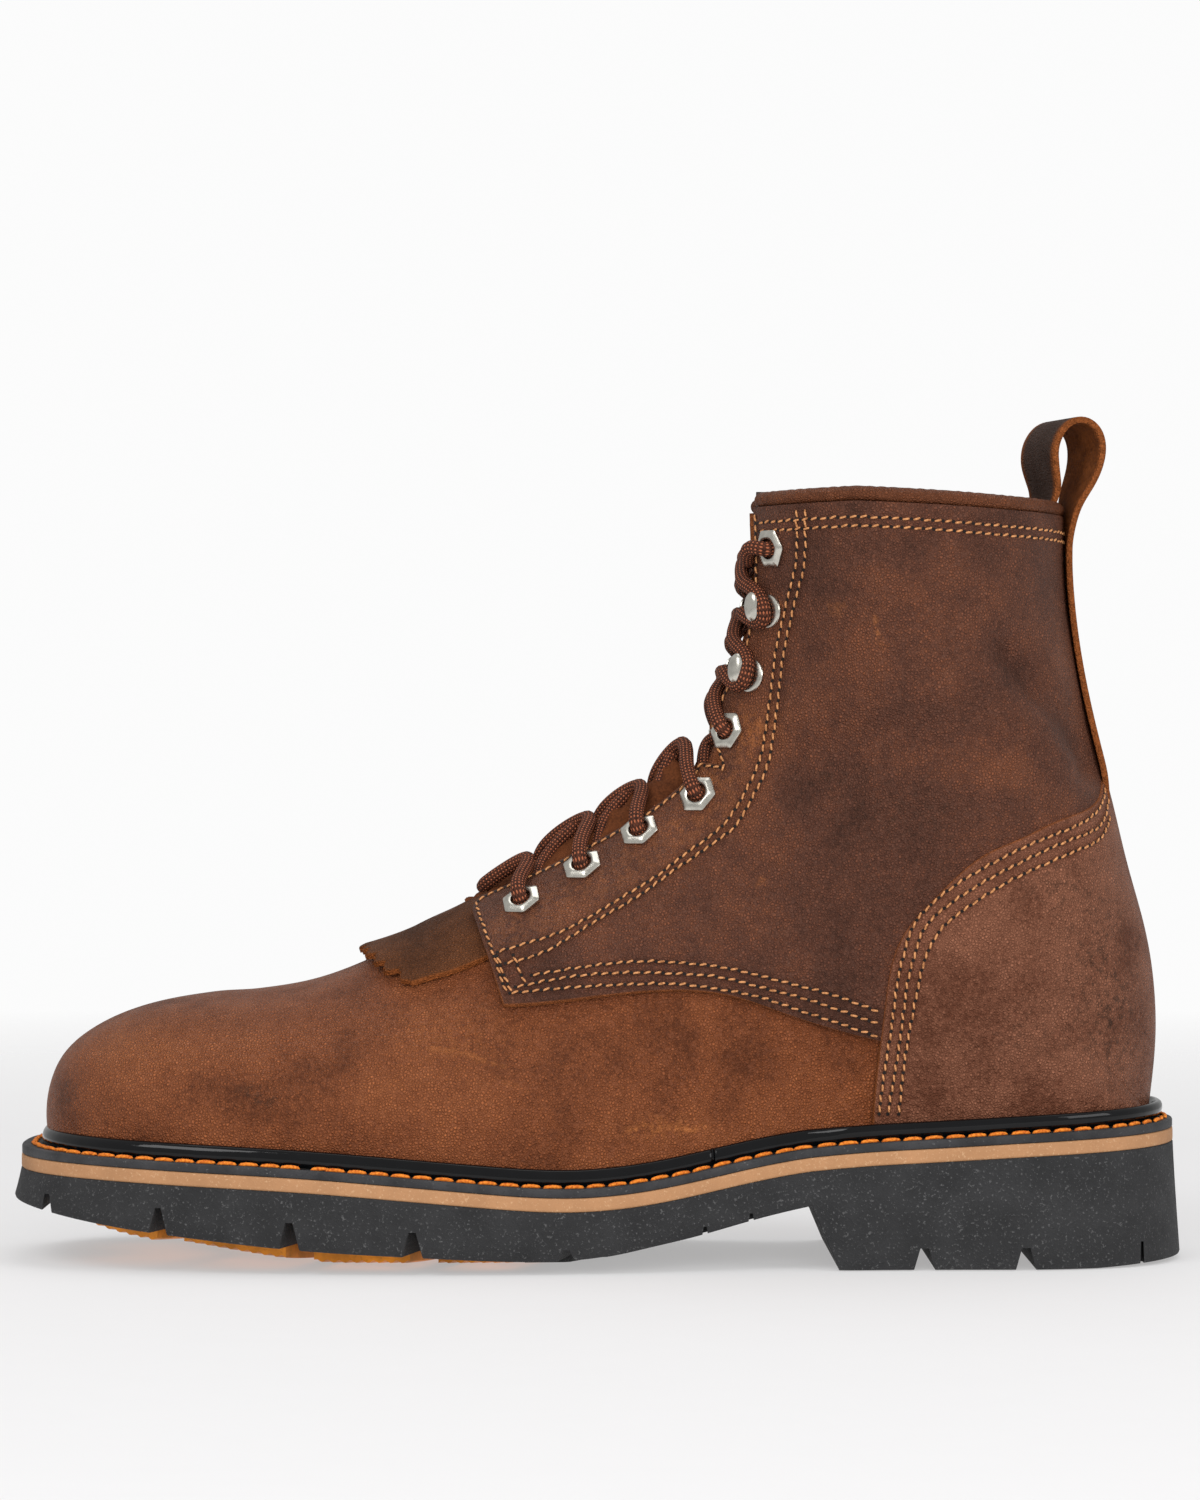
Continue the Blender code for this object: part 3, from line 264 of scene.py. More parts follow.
def link(name: str, data: bpy.types.ID) -> Piece:
    """Put a mesh, a light or a camera into the scene.

    Args:
        name: name of the object.
        data: what it shows.

    Returns:
        The linked object.
    """
    thing = bpy.data.objects.new(name, data)
    bpy.context.scene.collection.objects.link(thing)
    return thing


@dataclass
class Part:
    """Points, faces and painted values of one piece while it is being made."""

    points: list[Array] = field(default_factory=list)
    faces: list[tuple[int, ...]] = field(default_factory=list)
    slots: list[int] = field(default_factory=list)
    values: dict[str, list[Array]] = field(default_factory=dict)
    count: int = 0

    def add(self, points: Array, faces: Sequence[tuple[int, ...]], slot: int = 0, **values: Array) -> None:
        """Add a patch of faces.

        Args:
            points: patch points in millimetres.
            faces: faces by the patch's own indices.
            slot: which finish the patch takes.
            values: painted values, one per point.
        """
        points = np.asarray(points, float).reshape(-1, 3)
        for name in values:
            if name not in self.values:
                self.values[name] = [np.zeros(self.count)]
        for name, store in self.values.items():
            given = values.get(name)
            store.append(np.zeros(len(points)) if given is None else np.asarray(given, float).ravel())
        self.points.append(points)
        self.faces += [tuple(v + self.count for v in f) for f in faces]
        self.slots += [slot] * len(faces)
        self.count += len(points)

    def close(self, faces: Sequence[tuple[int, ...]], slot: int = 0) -> None:
        """Add faces between points that are there already."""
        self.faces += faces
        self.slots += [slot] * len(faces)

    def close_ends(self, rows: int, size: int) -> None:
        """Close both ends of a tube.

        Args:
            rows: rings of the tube.
            size: points in a ring.
        """
        tail = (rows - 1) * size
        self.close([tuple(range(size)), tuple(range(tail, tail + size))])

    def close_sheet(self, rows: int, cols: int) -> None:
        """Close both ends of a flat tube whose rings go over and come back under.

        Args:
            rows: rings of the tube.
            cols: points across its upper face.
        """
        size = 2 * cols
        strip = [(j, j + 1, size - 2 - j, size - 1 - j) for j in range(cols - 1)]
        for base in (0, (rows - 1) * size):
            self.close([tuple(base + v for v in f) for f in strip])

    def object(self, name: str, finishes: Sequence["Finish"], crisp: float = 0.0, weld: float = 0.0,
               outward: bool = False) -> Piece:
        """Make the Blender object.

        Args:
            name: name of the piece.
            finishes: its finishes, by slot.
            crisp: angle in degrees over which an edge stays sharp, or 0.
            weld: distance in millimetres within which points join, or 0.
            outward: True to turn all faces of a closed piece outward.

        Returns:
            The linked object.
        """
        mesh = bpy.data.meshes.new(name)
        mesh.from_pydata((np.concatenate(self.points) * MM).tolist(), [], self.faces)
        for finish in finishes:
            mesh.materials.append(finish.material())
        mesh.polygons.foreach_set("material_index", self.slots)
        for key, store in self.values.items():
            layer = mesh.attributes.new(key, "FLOAT", "POINT")
            layer.data.foreach_set("value", np.concatenate(store).astype(np.float32))
        if weld or outward:
            work = bmesh.new()
            work.from_mesh(mesh)
            if weld:
                bmesh.ops.remove_doubles(work, verts=work.verts, dist=weld * MM)
            if outward:
                bmesh.ops.recalc_face_normals(work, faces=work.faces)
            work.to_mesh(mesh)
            work.free()
        mesh.shade_smooth()
        if crisp:
            mesh.set_sharp_from_angle(angle=math.radians(crisp))
        return link(name, mesh)


def fit(piece: Piece, slot: Slot, *nodes: str) -> None:
    """Hang a piece on the boot, in the place of some solids.

    Args:
        piece: the finished piece.
        slot: the record's material slot; not used.
        nodes: solids that it stands for.
    """
    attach(piece, "root")
    if nodes:
        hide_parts(*nodes)
    LOG.info("%s: %d faces", piece.name, len(piece.data.polygons))


# Finishes.


def shade(colour: Colour, by: float) -> Colour:
    """Make a colour darker or lighter."""
    return tuple(by * c for c in colour)


class Recipe:
    """Wires the shader nodes of one material; lengths are in millimetres."""

    def __init__(self, name: str) -> None:
        """Start a material with its surface shader.

        Args:
            name: name of the material.
        """
        self.result = bpy.data.materials.new(name)
        self.result.use_nodes = True
        self.tree = self.result.node_tree
        self.shader = self.tree.nodes["Principled BSDF"]
        coords = self.node("ShaderNodeTexCoord")
        inputs = {0: coords.outputs["Object"], "Scale": 1.0 / MM}
        self.place = self.node("ShaderNodeVectorMath", inputs, operation="SCALE").outputs[0]

    def put(self, socket: Socket, value: object) -> None:
        """Link an input, or set it to a value.

        Args:
            socket: the input.
            value: a socket, a number or a colour.
        """
        if isinstance(value, Socket):
            self.tree.links.new(value, socket)
        elif isinstance(value, tuple) and len(value) == 3 and socket.type == "RGBA":
            socket.default_value = (*value, 1.0)
        else:
            socket.default_value = value

    def node(self, kind: str, inputs: Optional[dict] = None, **settings: object) -> bpy.types.Node:
        """Add a node.

        Args:
            kind: type of the node.
            inputs: sockets or values, by the input's name or number.
            settings: other settings of the node.

        Returns:
            The node.
        """
        node = self.tree.nodes.new(kind)
        for name, value in settings.items():
            setattr(node, name, value)
        for key, value in (inputs or {}).items():
            self.put(node.inputs[key], value)
        return node

    def set(self, **sockets: object) -> None:
        """Set inputs of the surface shader; underscores stand for spaces."""
        for name, value in sockets.items():
            self.put(self.shader.inputs[name.replace("_", " ")], value)

    def noise(self, per_mm: float, detail: float = 4.0, rough: float = 0.55, shift: float = 0.0,
              stretch: Optional[Colour] = None) -> Socket:
        """Make cloudy noise.

        Args:
            per_mm: patches in a millimetre.
            detail: number of finer layers.
            rough: weight of the finer layers.
            shift: moves the pattern.
            stretch: scale along each axis.

        Returns:
            The noise value.
        """
        where = self.place
        if shift or stretch:
            inputs = {"Vector": where, "Location": (shift, shift * 0.7, shift * 0.4)}
            inputs["Scale"] = stretch or (1.0, 1.0, 1.0)
            where = self.node("ShaderNodeMapping", inputs).outputs["Vector"]
        inputs = {"Vector": where, "Scale": per_mm, "Detail": detail, "Roughness": rough}
        return self.node("ShaderNodeTexNoise", inputs).outputs["Fac"]

    def cells(self, per_mm: float) -> Socket:
        """Make a field of cells and give the distance to the nearest edge of one."""
        inputs = {"Vector": self.place, "Scale": per_mm}
        return self.node("ShaderNodeTexVoronoi", inputs, feature="DISTANCE_TO_EDGE").outputs["Distance"]

    def painted(self, name: str) -> Socket:
        """Read a value that is painted on the mesh."""
        return self.node("ShaderNodeAttribute", attribute_name=name).outputs["Fac"]

    def math(self, operation: str, one: object, two: object = 0.0, clamp: bool = False) -> Socket:
        """Work out one step of arithmetic, kept between 0 and 1 if clamp is True."""
        return self.node("ShaderNodeMath", {0: one, 1: two}, operation=operation, use_clamp=clamp).outputs[0]

    def plus(self, one: object, two: object, share: float) -> Socket:
        """Add a share of a second value to the first."""
        return self.math("ADD", one, self.math("MULTIPLY", two, share))

    def span(self, value: object, low: float, high: float, to_low: float = 0.0,
             to_high: float = 1.0) -> Socket:
        """Map the range from low to high to another range, clamped."""
        inputs = {"Value": value, "From Min": low, "From Max": high, "To Min": to_low, "To Max": to_high}
        return self.node("ShaderNodeMapRange", inputs).outputs["Result"]

    def ramp(self, value: object, *stops: tuple[float, Colour]) -> Socket:
        """Colour a value.

        Args:
            value: the value.
            stops: values and their colours.

        Returns:
            The colour.
        """
        node = self.node("ShaderNodeValToRGB", {"Fac": value})
        bar = node.color_ramp.elements
        while len(bar) < len(stops):
            bar.new(0.5)
        for element, (at, colour) in zip(bar, stops):
            element.position = at
            element.color = (*colour, 1.0)
        return node.outputs["Color"]

    def mix(self, share: object, one: object, two: object) -> Socket:
        """Blend two colours by the share of the second."""
        return self.node("ShaderNodeMix", {0: share, 6: one, 7: two}, data_type="RGBA").outputs[2]

    def bump(self, height: object, deep: float, below: Optional[Socket] = None) -> Socket:
        """Turn a height into a normal, over another normal if one is given; deep is in millimetres."""
        inputs = {"Distance": deep * MM, "Height": height, **({} if below is None else {"Normal": below})}
        return self.node("ShaderNodeBump", inputs).outputs["Normal"]


@dataclass(frozen=True)
class Finish:
    """One finish; each kind wires its own material."""

    name: str

    def wire(self, r: Recipe) -> None:
        """Wire the nodes of the finish."""

    def material(self) -> bpy.types.Material:
        """Give the finish's material, made on first use.

        Returns:
            The material.
        """
        found = bpy.data.materials.get(self.name)
        if found is None:
            recipe = Recipe(self.name)
            self.wire(recipe)
            found = recipe.result
        return found


@dataclass(frozen=True)
class Leather(Finish):
    """Waxed pull-up leather with blotches, pebbles, scuffs, dirt and raw edges, and painted shade and
    highlight in the grain's creases, along the seams and over the folds.
    """

    deep: Colour = (0.06, 0.022, 0.012)
    body: Colour = (0.12, 0.042, 0.02)
    bright: Colour = (0.2, 0.07, 0.028)
    worn: Colour = (0.36, 0.12, 0.035)
    raw: Colour = (0.26, 0.078, 0.022)
    grain: float = 1.3
    rough: float = 0.47
    gloss: float = 0.3
    shift: float = 0.0
    grime: Colour = (0.028, 0.014, 0.009)
    sheen: Colour = (1.0, 0.8, 0.64)

    def wire(self, r: Recipe) -> None:
        """Wire blotches, mottle, pebbles, painted wear, and painted shade and highlight.

        Args:
            r: recipe of the material.
        """
        blotch = r.noise(0.018, 3.0, 0.5, self.shift)
        mottle = r.noise(0.085, 6.0, 0.62, self.shift + 40)
        fleck = r.noise(0.95, 4.0, 0.68, self.shift)
        pebble = r.span(r.cells(self.grain), 0.0, 0.4)
        tone = r.plus(r.math("MULTIPLY", blotch, 0.5), mottle, 0.5)
        tone = r.plus(tone, r.math("SUBTRACT", fleck, 0.5), 0.5)
        # The painted tone holds random tone, and painted shade and highlight along the folds.
        tone = r.math("ADD", tone, r.painted("tone"))
        colour = r.ramp(tone, (0.34, self.deep), (0.5, self.body), (0.68, self.bright))
        # Painted shade: darker in the creases between the pebbles of the grain.
        colour = r.mix(r.span(pebble, 0.0, 1.0, 0.75, 0.0), colour, self.deep)
        # Painted shade along the seams, where the leather dips round the stitches.
        colour = r.mix(r.math("MULTIPLY", r.painted("seam"), 0.5), colour, self.deep)
        scuff = r.math("MULTIPLY", r.painted("wear"), r.span(r.noise(0.5, 5.0, 0.7, 7.0), 0.42, 0.6), True)
        colour = r.mix(scuff, colour, self.worn)
        specks = r.span(r.noise(0.45, 5.0, 0.7, 3.0), 0.5, 0.62)
        colour = r.mix(r.math("MULTIPLY", r.painted("dirt"), specks, True), colour, self.grime)
        fibre = r.ramp(r.noise(1.6, 4.0, 0.7), (0.3, shade(self.raw, 0.45)), (0.62, self.raw),
                       (0.8, shade(self.raw, 1.7)))
        edge = r.painted("edge")
        colour = r.mix(edge, colour, fibre)
        shine = r.plus(r.span(mottle, 0.3, 0.7, self.rough + 0.09, self.rough - 0.07), edge, 0.3)
        soft = r.bump(r.plus(mottle, fleck, 0.3), 0.8)
        r.set(Base_Color=colour, Roughness=shine, Specular_IOR_Level=self.gloss,
              Specular_Tint=self.sheen, Normal=r.bump(pebble, 0.4, soft))


@dataclass(frozen=True)
class Suede(Finish):
    """Napped flesh side of the leather."""

    dark: Colour = (0.075, 0.022, 0.007)
    light: Colour = (0.25, 0.08, 0.022)

    def wire(self, r: Recipe) -> None:
        """Wire a fuzzy nap.

        Args:
            r: recipe of the material.
        """
        nap = r.noise(1.1, 6.0, 0.75)
        broad = r.noise(0.16, 3.0)
        tone = r.plus(r.math("MULTIPLY", nap, 0.6), broad, 0.4)
        r.set(Base_Color=r.ramp(tone, (0.36, self.dark), (0.64, self.light)), Roughness=0.95,
              Specular_IOR_Level=0.08, Normal=r.bump(nap, 0.5))


@dataclass(frozen=True)
class Rubber(Finish):
    """Moulded rubber or board with a fine speckle."""

    base: Colour = (0.03, 0.03, 0.031)
    fleck: Colour = (0.13, 0.13, 0.13)
    rough: float = 0.72
    speckle: float = 0.64
    relief: float = 0.12
    cloudy: float = 0.4

    def wire(self, r: Recipe) -> None:
        """Wire cloudy colour, flecks and a fine tooth.

        Args:
            r: recipe of the material.
        """
        cloud = r.noise(0.09, 4.0, 0.6)
        fine = r.noise(1.3, 3.0, 0.7)
        dark = shade(self.base, 1 - self.cloudy)
        colour = r.ramp(cloud, (0.32, dark), (0.52, self.base), (0.7, shade(self.base, 1 + self.cloudy)))
        colour = r.mix(r.span(fine, self.speckle, self.speckle + 0.08, 0.0, 0.7), colour, self.fleck)
        pits = r.noise(1.1, 2.0, 0.6, 5.0)
        colour = r.mix(r.span(pits, 0.58, 0.7, 0.0, 0.55), colour, dark)
        dust = r.math("MULTIPLY", r.painted("wear"), r.span(r.noise(0.3, 5.0, 0.7), 0.45, 0.7), True)
        colour = r.mix(dust, colour, tuple(min(1.0, 0.12 + 1.5 * c) for c in self.base))
        r.set(Base_Color=colour, Roughness=r.span(cloud, 0.3, 0.7, self.rough + 0.06, self.rough - 0.06),
              Specular_IOR_Level=0.35, Normal=r.bump(fine, self.relief))


@dataclass(frozen=True)
class Gloss(Finish):
    """Smooth extruded bead."""

    base: Colour = (0.0025, 0.0027, 0.0033)

    def wire(self, r: Recipe) -> None:
        """Wire a glossy dark surface with faint waviness.

        Args:
            r: recipe of the material.
        """
        wave = r.noise(0.12, 2.0)
        r.set(Base_Color=r.ramp(wave, (0.35, shade(self.base, 0.7)), (0.65, self.base)),
              Roughness=r.span(r.noise(0.8, 3.0), 0.35, 0.65, 0.05, 0.1), Specular_IOR_Level=0.3,
              Normal=r.bump(wave, 0.15))


@dataclass(frozen=True)
class Metal(Finish):
    """Satin nickel plate."""

    base: Colour = (0.7, 0.675, 0.6)

    def wire(self, r: Recipe) -> None:
        """Wire brushed plate with tarnish.

        Args:
            r: recipe of the material.
        """
        tarnish = r.noise(0.35, 4.0, 0.6)
        scratch = r.noise(2.2, 2.0, 0.5, 0.0, (1.0, 0.25, 4.0))
        r.set(Base_Color=r.ramp(tarnish, (0.3, shade(self.base, 0.72)), (0.6, self.base)),
              Metallic=1.0, Roughness=r.span(scratch, 0.3, 0.7, 0.22, 0.32), Normal=r.bump(scratch, 0.012))


@dataclass(frozen=True)
class Thread(Finish):
    """Twisted waxed thread."""

    dark: Colour = (0.25, 0.095, 0.032)
    light: Colour = (0.56, 0.26, 0.105)

    def wire(self, r: Recipe) -> None:
        """Wire fibres along the thread.

        Args:
            r: recipe of the material.
        """
        ply = r.noise(1.6, 3.0, 0.6)
        r.set(Base_Color=r.ramp(ply, (0.34, self.dark), (0.6, self.light)), Roughness=0.68,
              Specular_IOR_Level=0.25, Normal=r.bump(r.noise(4.0, 2.0), 0.12))


@dataclass(frozen=True)
class Braid(Finish):
    """Braided cord: dark strands with copper flecks."""

    dark: Colour = (0.036, 0.0125, 0.0075)
    mid: Colour = (0.1, 0.032, 0.017)
    copper: Colour = (0.42, 0.13, 0.06)

    def wire(self, r: Recipe) -> None:
        """Wire two sets of crossing strands by run and turn.

        Args:
            r: recipe of the material.
        """
        run = r.math("MULTIPLY", r.painted("run"), 0.5)
        turn = r.math("MULTIPLY", r.painted("turn"), 6.0)
        one = r.math("SINE", r.math("MULTIPLY", r.math("ADD", run, turn), math.tau))
        two = r.math("SINE", r.math("MULTIPLY", r.math("SUBTRACT", run, turn), math.tau))
        weave = r.math("MULTIPLY", one, two)
        lit = r.span(weave, 0.25, 0.65, 0.0, 0.85)
        base = r.ramp(r.noise(0.9, 3.0), (0.35, self.dark), (0.65, self.mid))
        # Painted shade in the grooves between the strands.
        base = r.mix(r.span(r.math("ABSOLUTE", weave), 0.0, 0.25, 0.7, 0.0), base, self.dark)
        r.set(Base_Color=r.mix(lit, base, self.copper), Roughness=0.75, Specular_IOR_Level=0.2,
              Normal=r.bump(r.math("ABSOLUTE", weave), 0.35))


@dataclass(frozen=True)
class Paper(Finish):
    """Plain pale studio floor that fades out with distance; it glows faintly, painted light that keeps its
    shadows pale and lights the sole from below.
    """

    base: Colour = (0.42, 0.42, 0.425)
    light: Colour = (1.0, 0.985, 0.98)
    glow: float = 0.4
    near: float = 420.0
    far: float = 1250.0

    def wire(self, r: Recipe) -> None:
        """Wire a matte floor with soft far edges and a faint painted glow.

        Args:
            r: recipe of the material.
        """
        flat = r.node("ShaderNodeVectorMath", {0: r.place}, operation="LENGTH")
        fade = r.span(flat.outputs["Value"], self.near, self.far)
        clear = r.node("ShaderNodeBsdfTransparent")
        blend = r.node("ShaderNodeMixShader", {0: fade, 1: r.shader.outputs[0], 2: clear.outputs[0]})
        r.put(r.tree.nodes["Material Output"].inputs["Surface"], blend.outputs[0])
        tooth = r.noise(0.06, 3.0)
        # The emission is painted light: a glow that lifts the shadows on the floor.
        r.set(Base_Color=r.ramp(tooth, (0.3, shade(self.base, 0.99)), (0.7, self.base)),
              Roughness=0.8, Specular_IOR_Level=0.1, Emission_Color=self.light, Emission_Strength=self.glow)


VAMP = Leather("vamp_leather_waxed", (0.092, 0.026, 0.01), (0.258, 0.077, 0.0275), (0.38, 0.122, 0.043),
               rough=0.46)
SHAFT = Leather("shaft_leather_waxed", (0.045, 0.0172, 0.0115), (0.121, 0.0435, 0.0255),
                (0.225, 0.074, 0.0335), shift=90.0)
HEEL = Leather("counter_leather_waxed", (0.092, 0.031, 0.0165), (0.268, 0.11, 0.064), (0.37, 0.15, 0.084),
               shift=170.0, gloss=0.2)
FLAP = Leather("kiltie_leather_waxed", (0.054, 0.0194, 0.008), (0.135, 0.047, 0.0175), (0.2, 0.07, 0.025),
               shift=250.0, rough=0.6, gloss=0.12)
TRIM = Leather("trim_leather_waxed", (0.068, 0.021, 0.009), (0.127, 0.039, 0.016), (0.215, 0.068, 0.027),
               shift=310.0)
STRAP = Leather("strap_leather_waxed", (0.03, 0.0145, 0.0095), (0.054, 0.0265, 0.018), (0.09, 0.044, 0.028),
                shift=370.0, rough=0.6, gloss=0.14)
TONGUE_HIDE = Leather("tongue_leather_soft", (0.028, 0.011, 0.007), (0.055, 0.02, 0.011), (0.1, 0.034, 0.016),
                      rough=0.6, shift=20.0)
LINING = Leather("lining_leather_plain", (0.1, 0.045, 0.024), (0.17, 0.08, 0.042), (0.24, 0.12, 0.065),
                 rough=0.62)
SUEDE = Suede("suede_brown")
TAIL_SUEDE = Suede("suede_tail_dark", (0.05, 0.016, 0.007), (0.16, 0.05, 0.018))
THREAD = Thread("thread_golden")
WELT_THREAD = Thread("thread_orange", (0.42, 0.075, 0.008), (0.78, 0.24, 0.025))
# Dark discs at the needle holes: painted shade in the holes.
NEEDLE_HOLE_SHADE = Rubber("needle_hole_shade", (0.006, 0.003, 0.002), (0.012, 0.006, 0.004))
OUTSOLE = Rubber("rubber_charcoal", (0.02, 0.02, 0.021), (0.11, 0.11, 0.11), speckle=0.59, relief=0.45,
                 cloudy=0.2)
FLANGE = Rubber("welt_flange_grey", (0.028, 0.028, 0.03), (0.14, 0.14, 0.14), 0.62)
BEAD = Gloss("welt_bead_black")
BOARD = Rubber("midsole_board_tan", (0.37, 0.19, 0.09), (0.52, 0.32, 0.18), 0.78, 0.58, cloudy=0.1)
AMBER = Rubber("rubber_amber_ribbed", (0.72, 0.24, 0.012), (0.85, 0.36, 0.03), 0.45, 0.7, 0.05)
SOCK = Leather("insole_leather_tan", (0.2, 0.12, 0.06), (0.3, 0.18, 0.1), (0.4, 0.26, 0.15), rough=0.7)
NICKEL = Metal("nickel_satin")
CORD = Braid("lace_braid_brown")


# The sole's plan and the last.


class SolePlan:
    """Outlines and heights of the sole, from the same short tables as the solids."""

    TOE_CENTRE, TOE_TIP, TOE_POWER, TOE_SWING = -72.0, -147.3, 2.8, 4.2
    HEEL_CENTRE, HEEL_TIP, HEEL_POWER = 106.0, 143.7, 2.3
    BREAST_TOP, BREAST_FOOT, CHEVRON = 54.0, 61.0, 17.0
    MIDSOLE, FLANGE = 3.3, 2.3
    MIDSOLE_GAP, WELT_GAP, SEAT_SINK = 0.2, 0.3, 0.1
    EDGE, EDGE_HEEL, EDGE_TOE_TIP, EDGE_HEEL_TIP = 6.4, 2.3, 0.9, 0.7
    FEATHER = ((-72, 47.6, 0.2), (-50, 47.4, -0.9), (-25, 45.0, -2.0), (0, 41.2, -3.0), (25, 36.8, -3.0),
               (50, 33.0, -2.0), (75, 31.0, -0.9), (98, 30.6, -0.2), (106, 30.6, 0.0))
    TOP = ((-156, 24.6), (-131, 23.6), (-103, 22.4), (-73, 20.8), (-31, 17.2), (-6, 15.9), (8, 17.0),
           (21, 19.2), (37, 22.6), (52, 25.2), (64, 26.5), (84, 27.6), (115, 29.3), (131, 30.2), (156, 32.0))
    RIM = ((-156, 16.2), (-130, 12.0), (-103, 8.8), (-77, 6.2), (-45, 4.4), (-10, 3.4), (3, 4.7), (12, 6.6),
           (22, 8.8), (32, 11.4), (42, 14.0), (54, 16.6))
    HEEL = ((61, 0.0), (126, 0.0), (138, 0.7), (149, 2.0), (157, 5.0))
    TREAD = ((-150, 12.4), (-130, 8.6), (-105, 4.6), (-84, 1.4), (-66, 0.0))

    def __init__(self) -> None:
        """Make the splines of the tables."""
        places, halves, swings = zip(*self.FEATHER)
        self.half_of = spline(places, halves, True)
        self.swing_of = spline(places, swings)
        self.outsole_top = pairs_spline(self.TOP)
        self.rim_under = pairs_spline(self.RIM)
        self.heel_under = pairs_spline(self.HEEL)
        self.tread_curve = pairs_spline(self.TREAD, True)

    def tread(self, x: Array) -> Array:
        """Give the height of the tread under the forefoot."""
        return np.where(np.asarray(x) >= self.TREAD[-1][0], 0.0, np.maximum(self.tread_curve(x), 0.0))

    def midsole_top(self, x: Array) -> Array:
        """Give the height of the midsole's upper face."""
        return self.outsole_top(x) + self.MIDSOLE_GAP + self.MIDSOLE

    def welt_top(self, x: Array) -> Array:
        """Give the height of the welt's stitched ledge."""
        return self.midsole_top(x) + self.WELT_GAP + self.FLANGE

    def seat(self, x: Array) -> Array:
        """Give the height at which the upper stands on the welt."""
        return self.welt_top(x) - self.SEAT_SINK

    def tips(self, x: Array) -> tuple[Array, Array]:
        """Give the shares of the way from the centres to the toe and heel tips.

        Args:
            x: stations along the boot.

        Returns:
            Shares toward the toe and toward the heel.
        """
        toe = np.clip((self.TOE_CENTRE - x) / (self.TOE_CENTRE - self.TOE_TIP), 0, 1)
        heel = np.clip((x - self.HEEL_CENTRE) / (self.HEEL_TIP - self.HEEL_CENTRE), 0, 1)
        return toe, heel

    def half(self, x: Array) -> Array:
        """Give the half width of the feather line.

        Args:
            x: stations along the boot.

        Returns:
            The half widths.
        """
        x = np.asarray(x, float)
        toe, heel = self.tips(x)
        body = self.half_of(np.clip(x, self.TOE_CENTRE, self.HEEL_CENTRE))
        return body * superellipse(toe, self.TOE_POWER) * superellipse(heel, self.HEEL_POWER)

    def centre(self, x: Array) -> Array:
        """Give the middle of the foot; the toe swings to the inner side.

        Args:
            x: stations along the boot.

        Returns:
            The middles, as y.
        """
        x = np.asarray(x, float)
        body = self.swing_of(np.clip(x, self.TOE_CENTRE, self.HEEL_CENTRE))
        return body + (self.TOE_SWING - self.FEATHER[0][2]) * self.tips(x)[0]

    def heel_share(self, x: Array) -> Array:
        """Ease from 0 ahead of the counter to 1 beside it."""
        return smooth((np.asarray(x) - 52.0) / 14.0)

    def edge(self, x: Array) -> Array:
        """Give how far the sole stands outside the feather line.

        Args:
            x: stations along the boot.

        Returns:
            The distances.
        """
        x = np.asarray(x, float)
        tips = self.EDGE_TOE_TIP * smooth((-x - 125) / 20) + self.EDGE_HEEL_TIP * smooth((x - 120) / 20)
        return self.EDGE + self.EDGE_HEEL * self.heel_share(x) + tips

    def under(self, x: Array) -> Array:
        """Give the outsole's lower rim: forefoot, breast or heel."""
        heel = np.maximum(self.heel_under(np.maximum(x, self.BREAST_FOOT)), 0.0)
        return np.where(x <= self.BREAST_TOP + 0.01, self.rim_under(np.minimum(x, self.BREAST_TOP)), heel)

    def outline(self, fore: int = 110, toe: int = 44, heel: int = 34,
                extra: Sequence[float] = ()) -> tuple[Array, Array]:
        """List the feather line, outer side then inner side.

        Args:
            fore: points between the toe and the breast.
            toe: points around half the toe.
            heel: points around half the heel.
            extra: more stations between the toe and the heel.

        Returns:
            The closed plan ring, and the station of each of its points.
        """
        turn = np.linspace(0, math.pi / 2, toe, endpoint=False)
        toe_x = self.TOE_CENTRE - (self.TOE_CENTRE - self.TOE_TIP) * np.cos(turn) ** (2 / self.TOE_POWER)
        body = np.unique(np.concatenate([np.linspace(self.TOE_CENTRE, self.BREAST_TOP, fore),
                                         np.linspace(self.BREAST_FOOT, self.HEEL_CENTRE, fore // 3), extra]))
        turn = np.linspace(0, math.pi / 2, heel + 1)[1:]
        heel_x = self.HEEL_CENTRE + (self.HEEL_TIP - self.HEEL_CENTRE) * np.sin(turn) ** (2 / self.HEEL_POWER)
        x = np.concatenate([toe_x, body, heel_x])
        outer = np.stack([x, self.centre(x) - self.half(x)], 1)
        inner = np.stack([x, self.centre(x) + self.half(x)], 1)
        return np.concatenate([outer, inner[1:-1][::-1]]), np.concatenate([x, x[1:-1][::-1]])

    @staticmethod
    def grow(ring: Array, by: Array) -> Array:
        """Move a closed plan ring outward by a distance at each point.

        Args:
            ring: the closed ring.
            by: distance at each point.

        Returns:
            The moved ring.
        """
        run = np.roll(ring, -1, 0) - np.roll(ring, 1, 0)
        out = unit(np.stack([-run[:, 1], run[:, 0]], 1))
        if np.sum((ring - ring.mean(0)) * out) < 0:
            out = -out
        return ring + out * np.broadcast_to(by, len(ring))[:, None]


class Section(NamedTuple):
    """One section of the upper; foot is an x on the feather line, or past the heel tip a rise."""

    foot: float
    top_x: float
    top_z: float
    ridge_y: float
    out_lateral: float
    out_medial: float
    belly: float
    start: float
    crown: float
    curl: float


class Stroke(NamedTuple):
    """A soft crease, swell, scratch or streak along a side-view line."""

    line: Rows
    width: float
    amount: float

    def over(self, x: Array, z: Array) -> Array:
        """Give the stroke's amount at side-view places."""
        return self.amount * np.exp(-(line_distance(x, z, self.line) / self.width) ** 2)


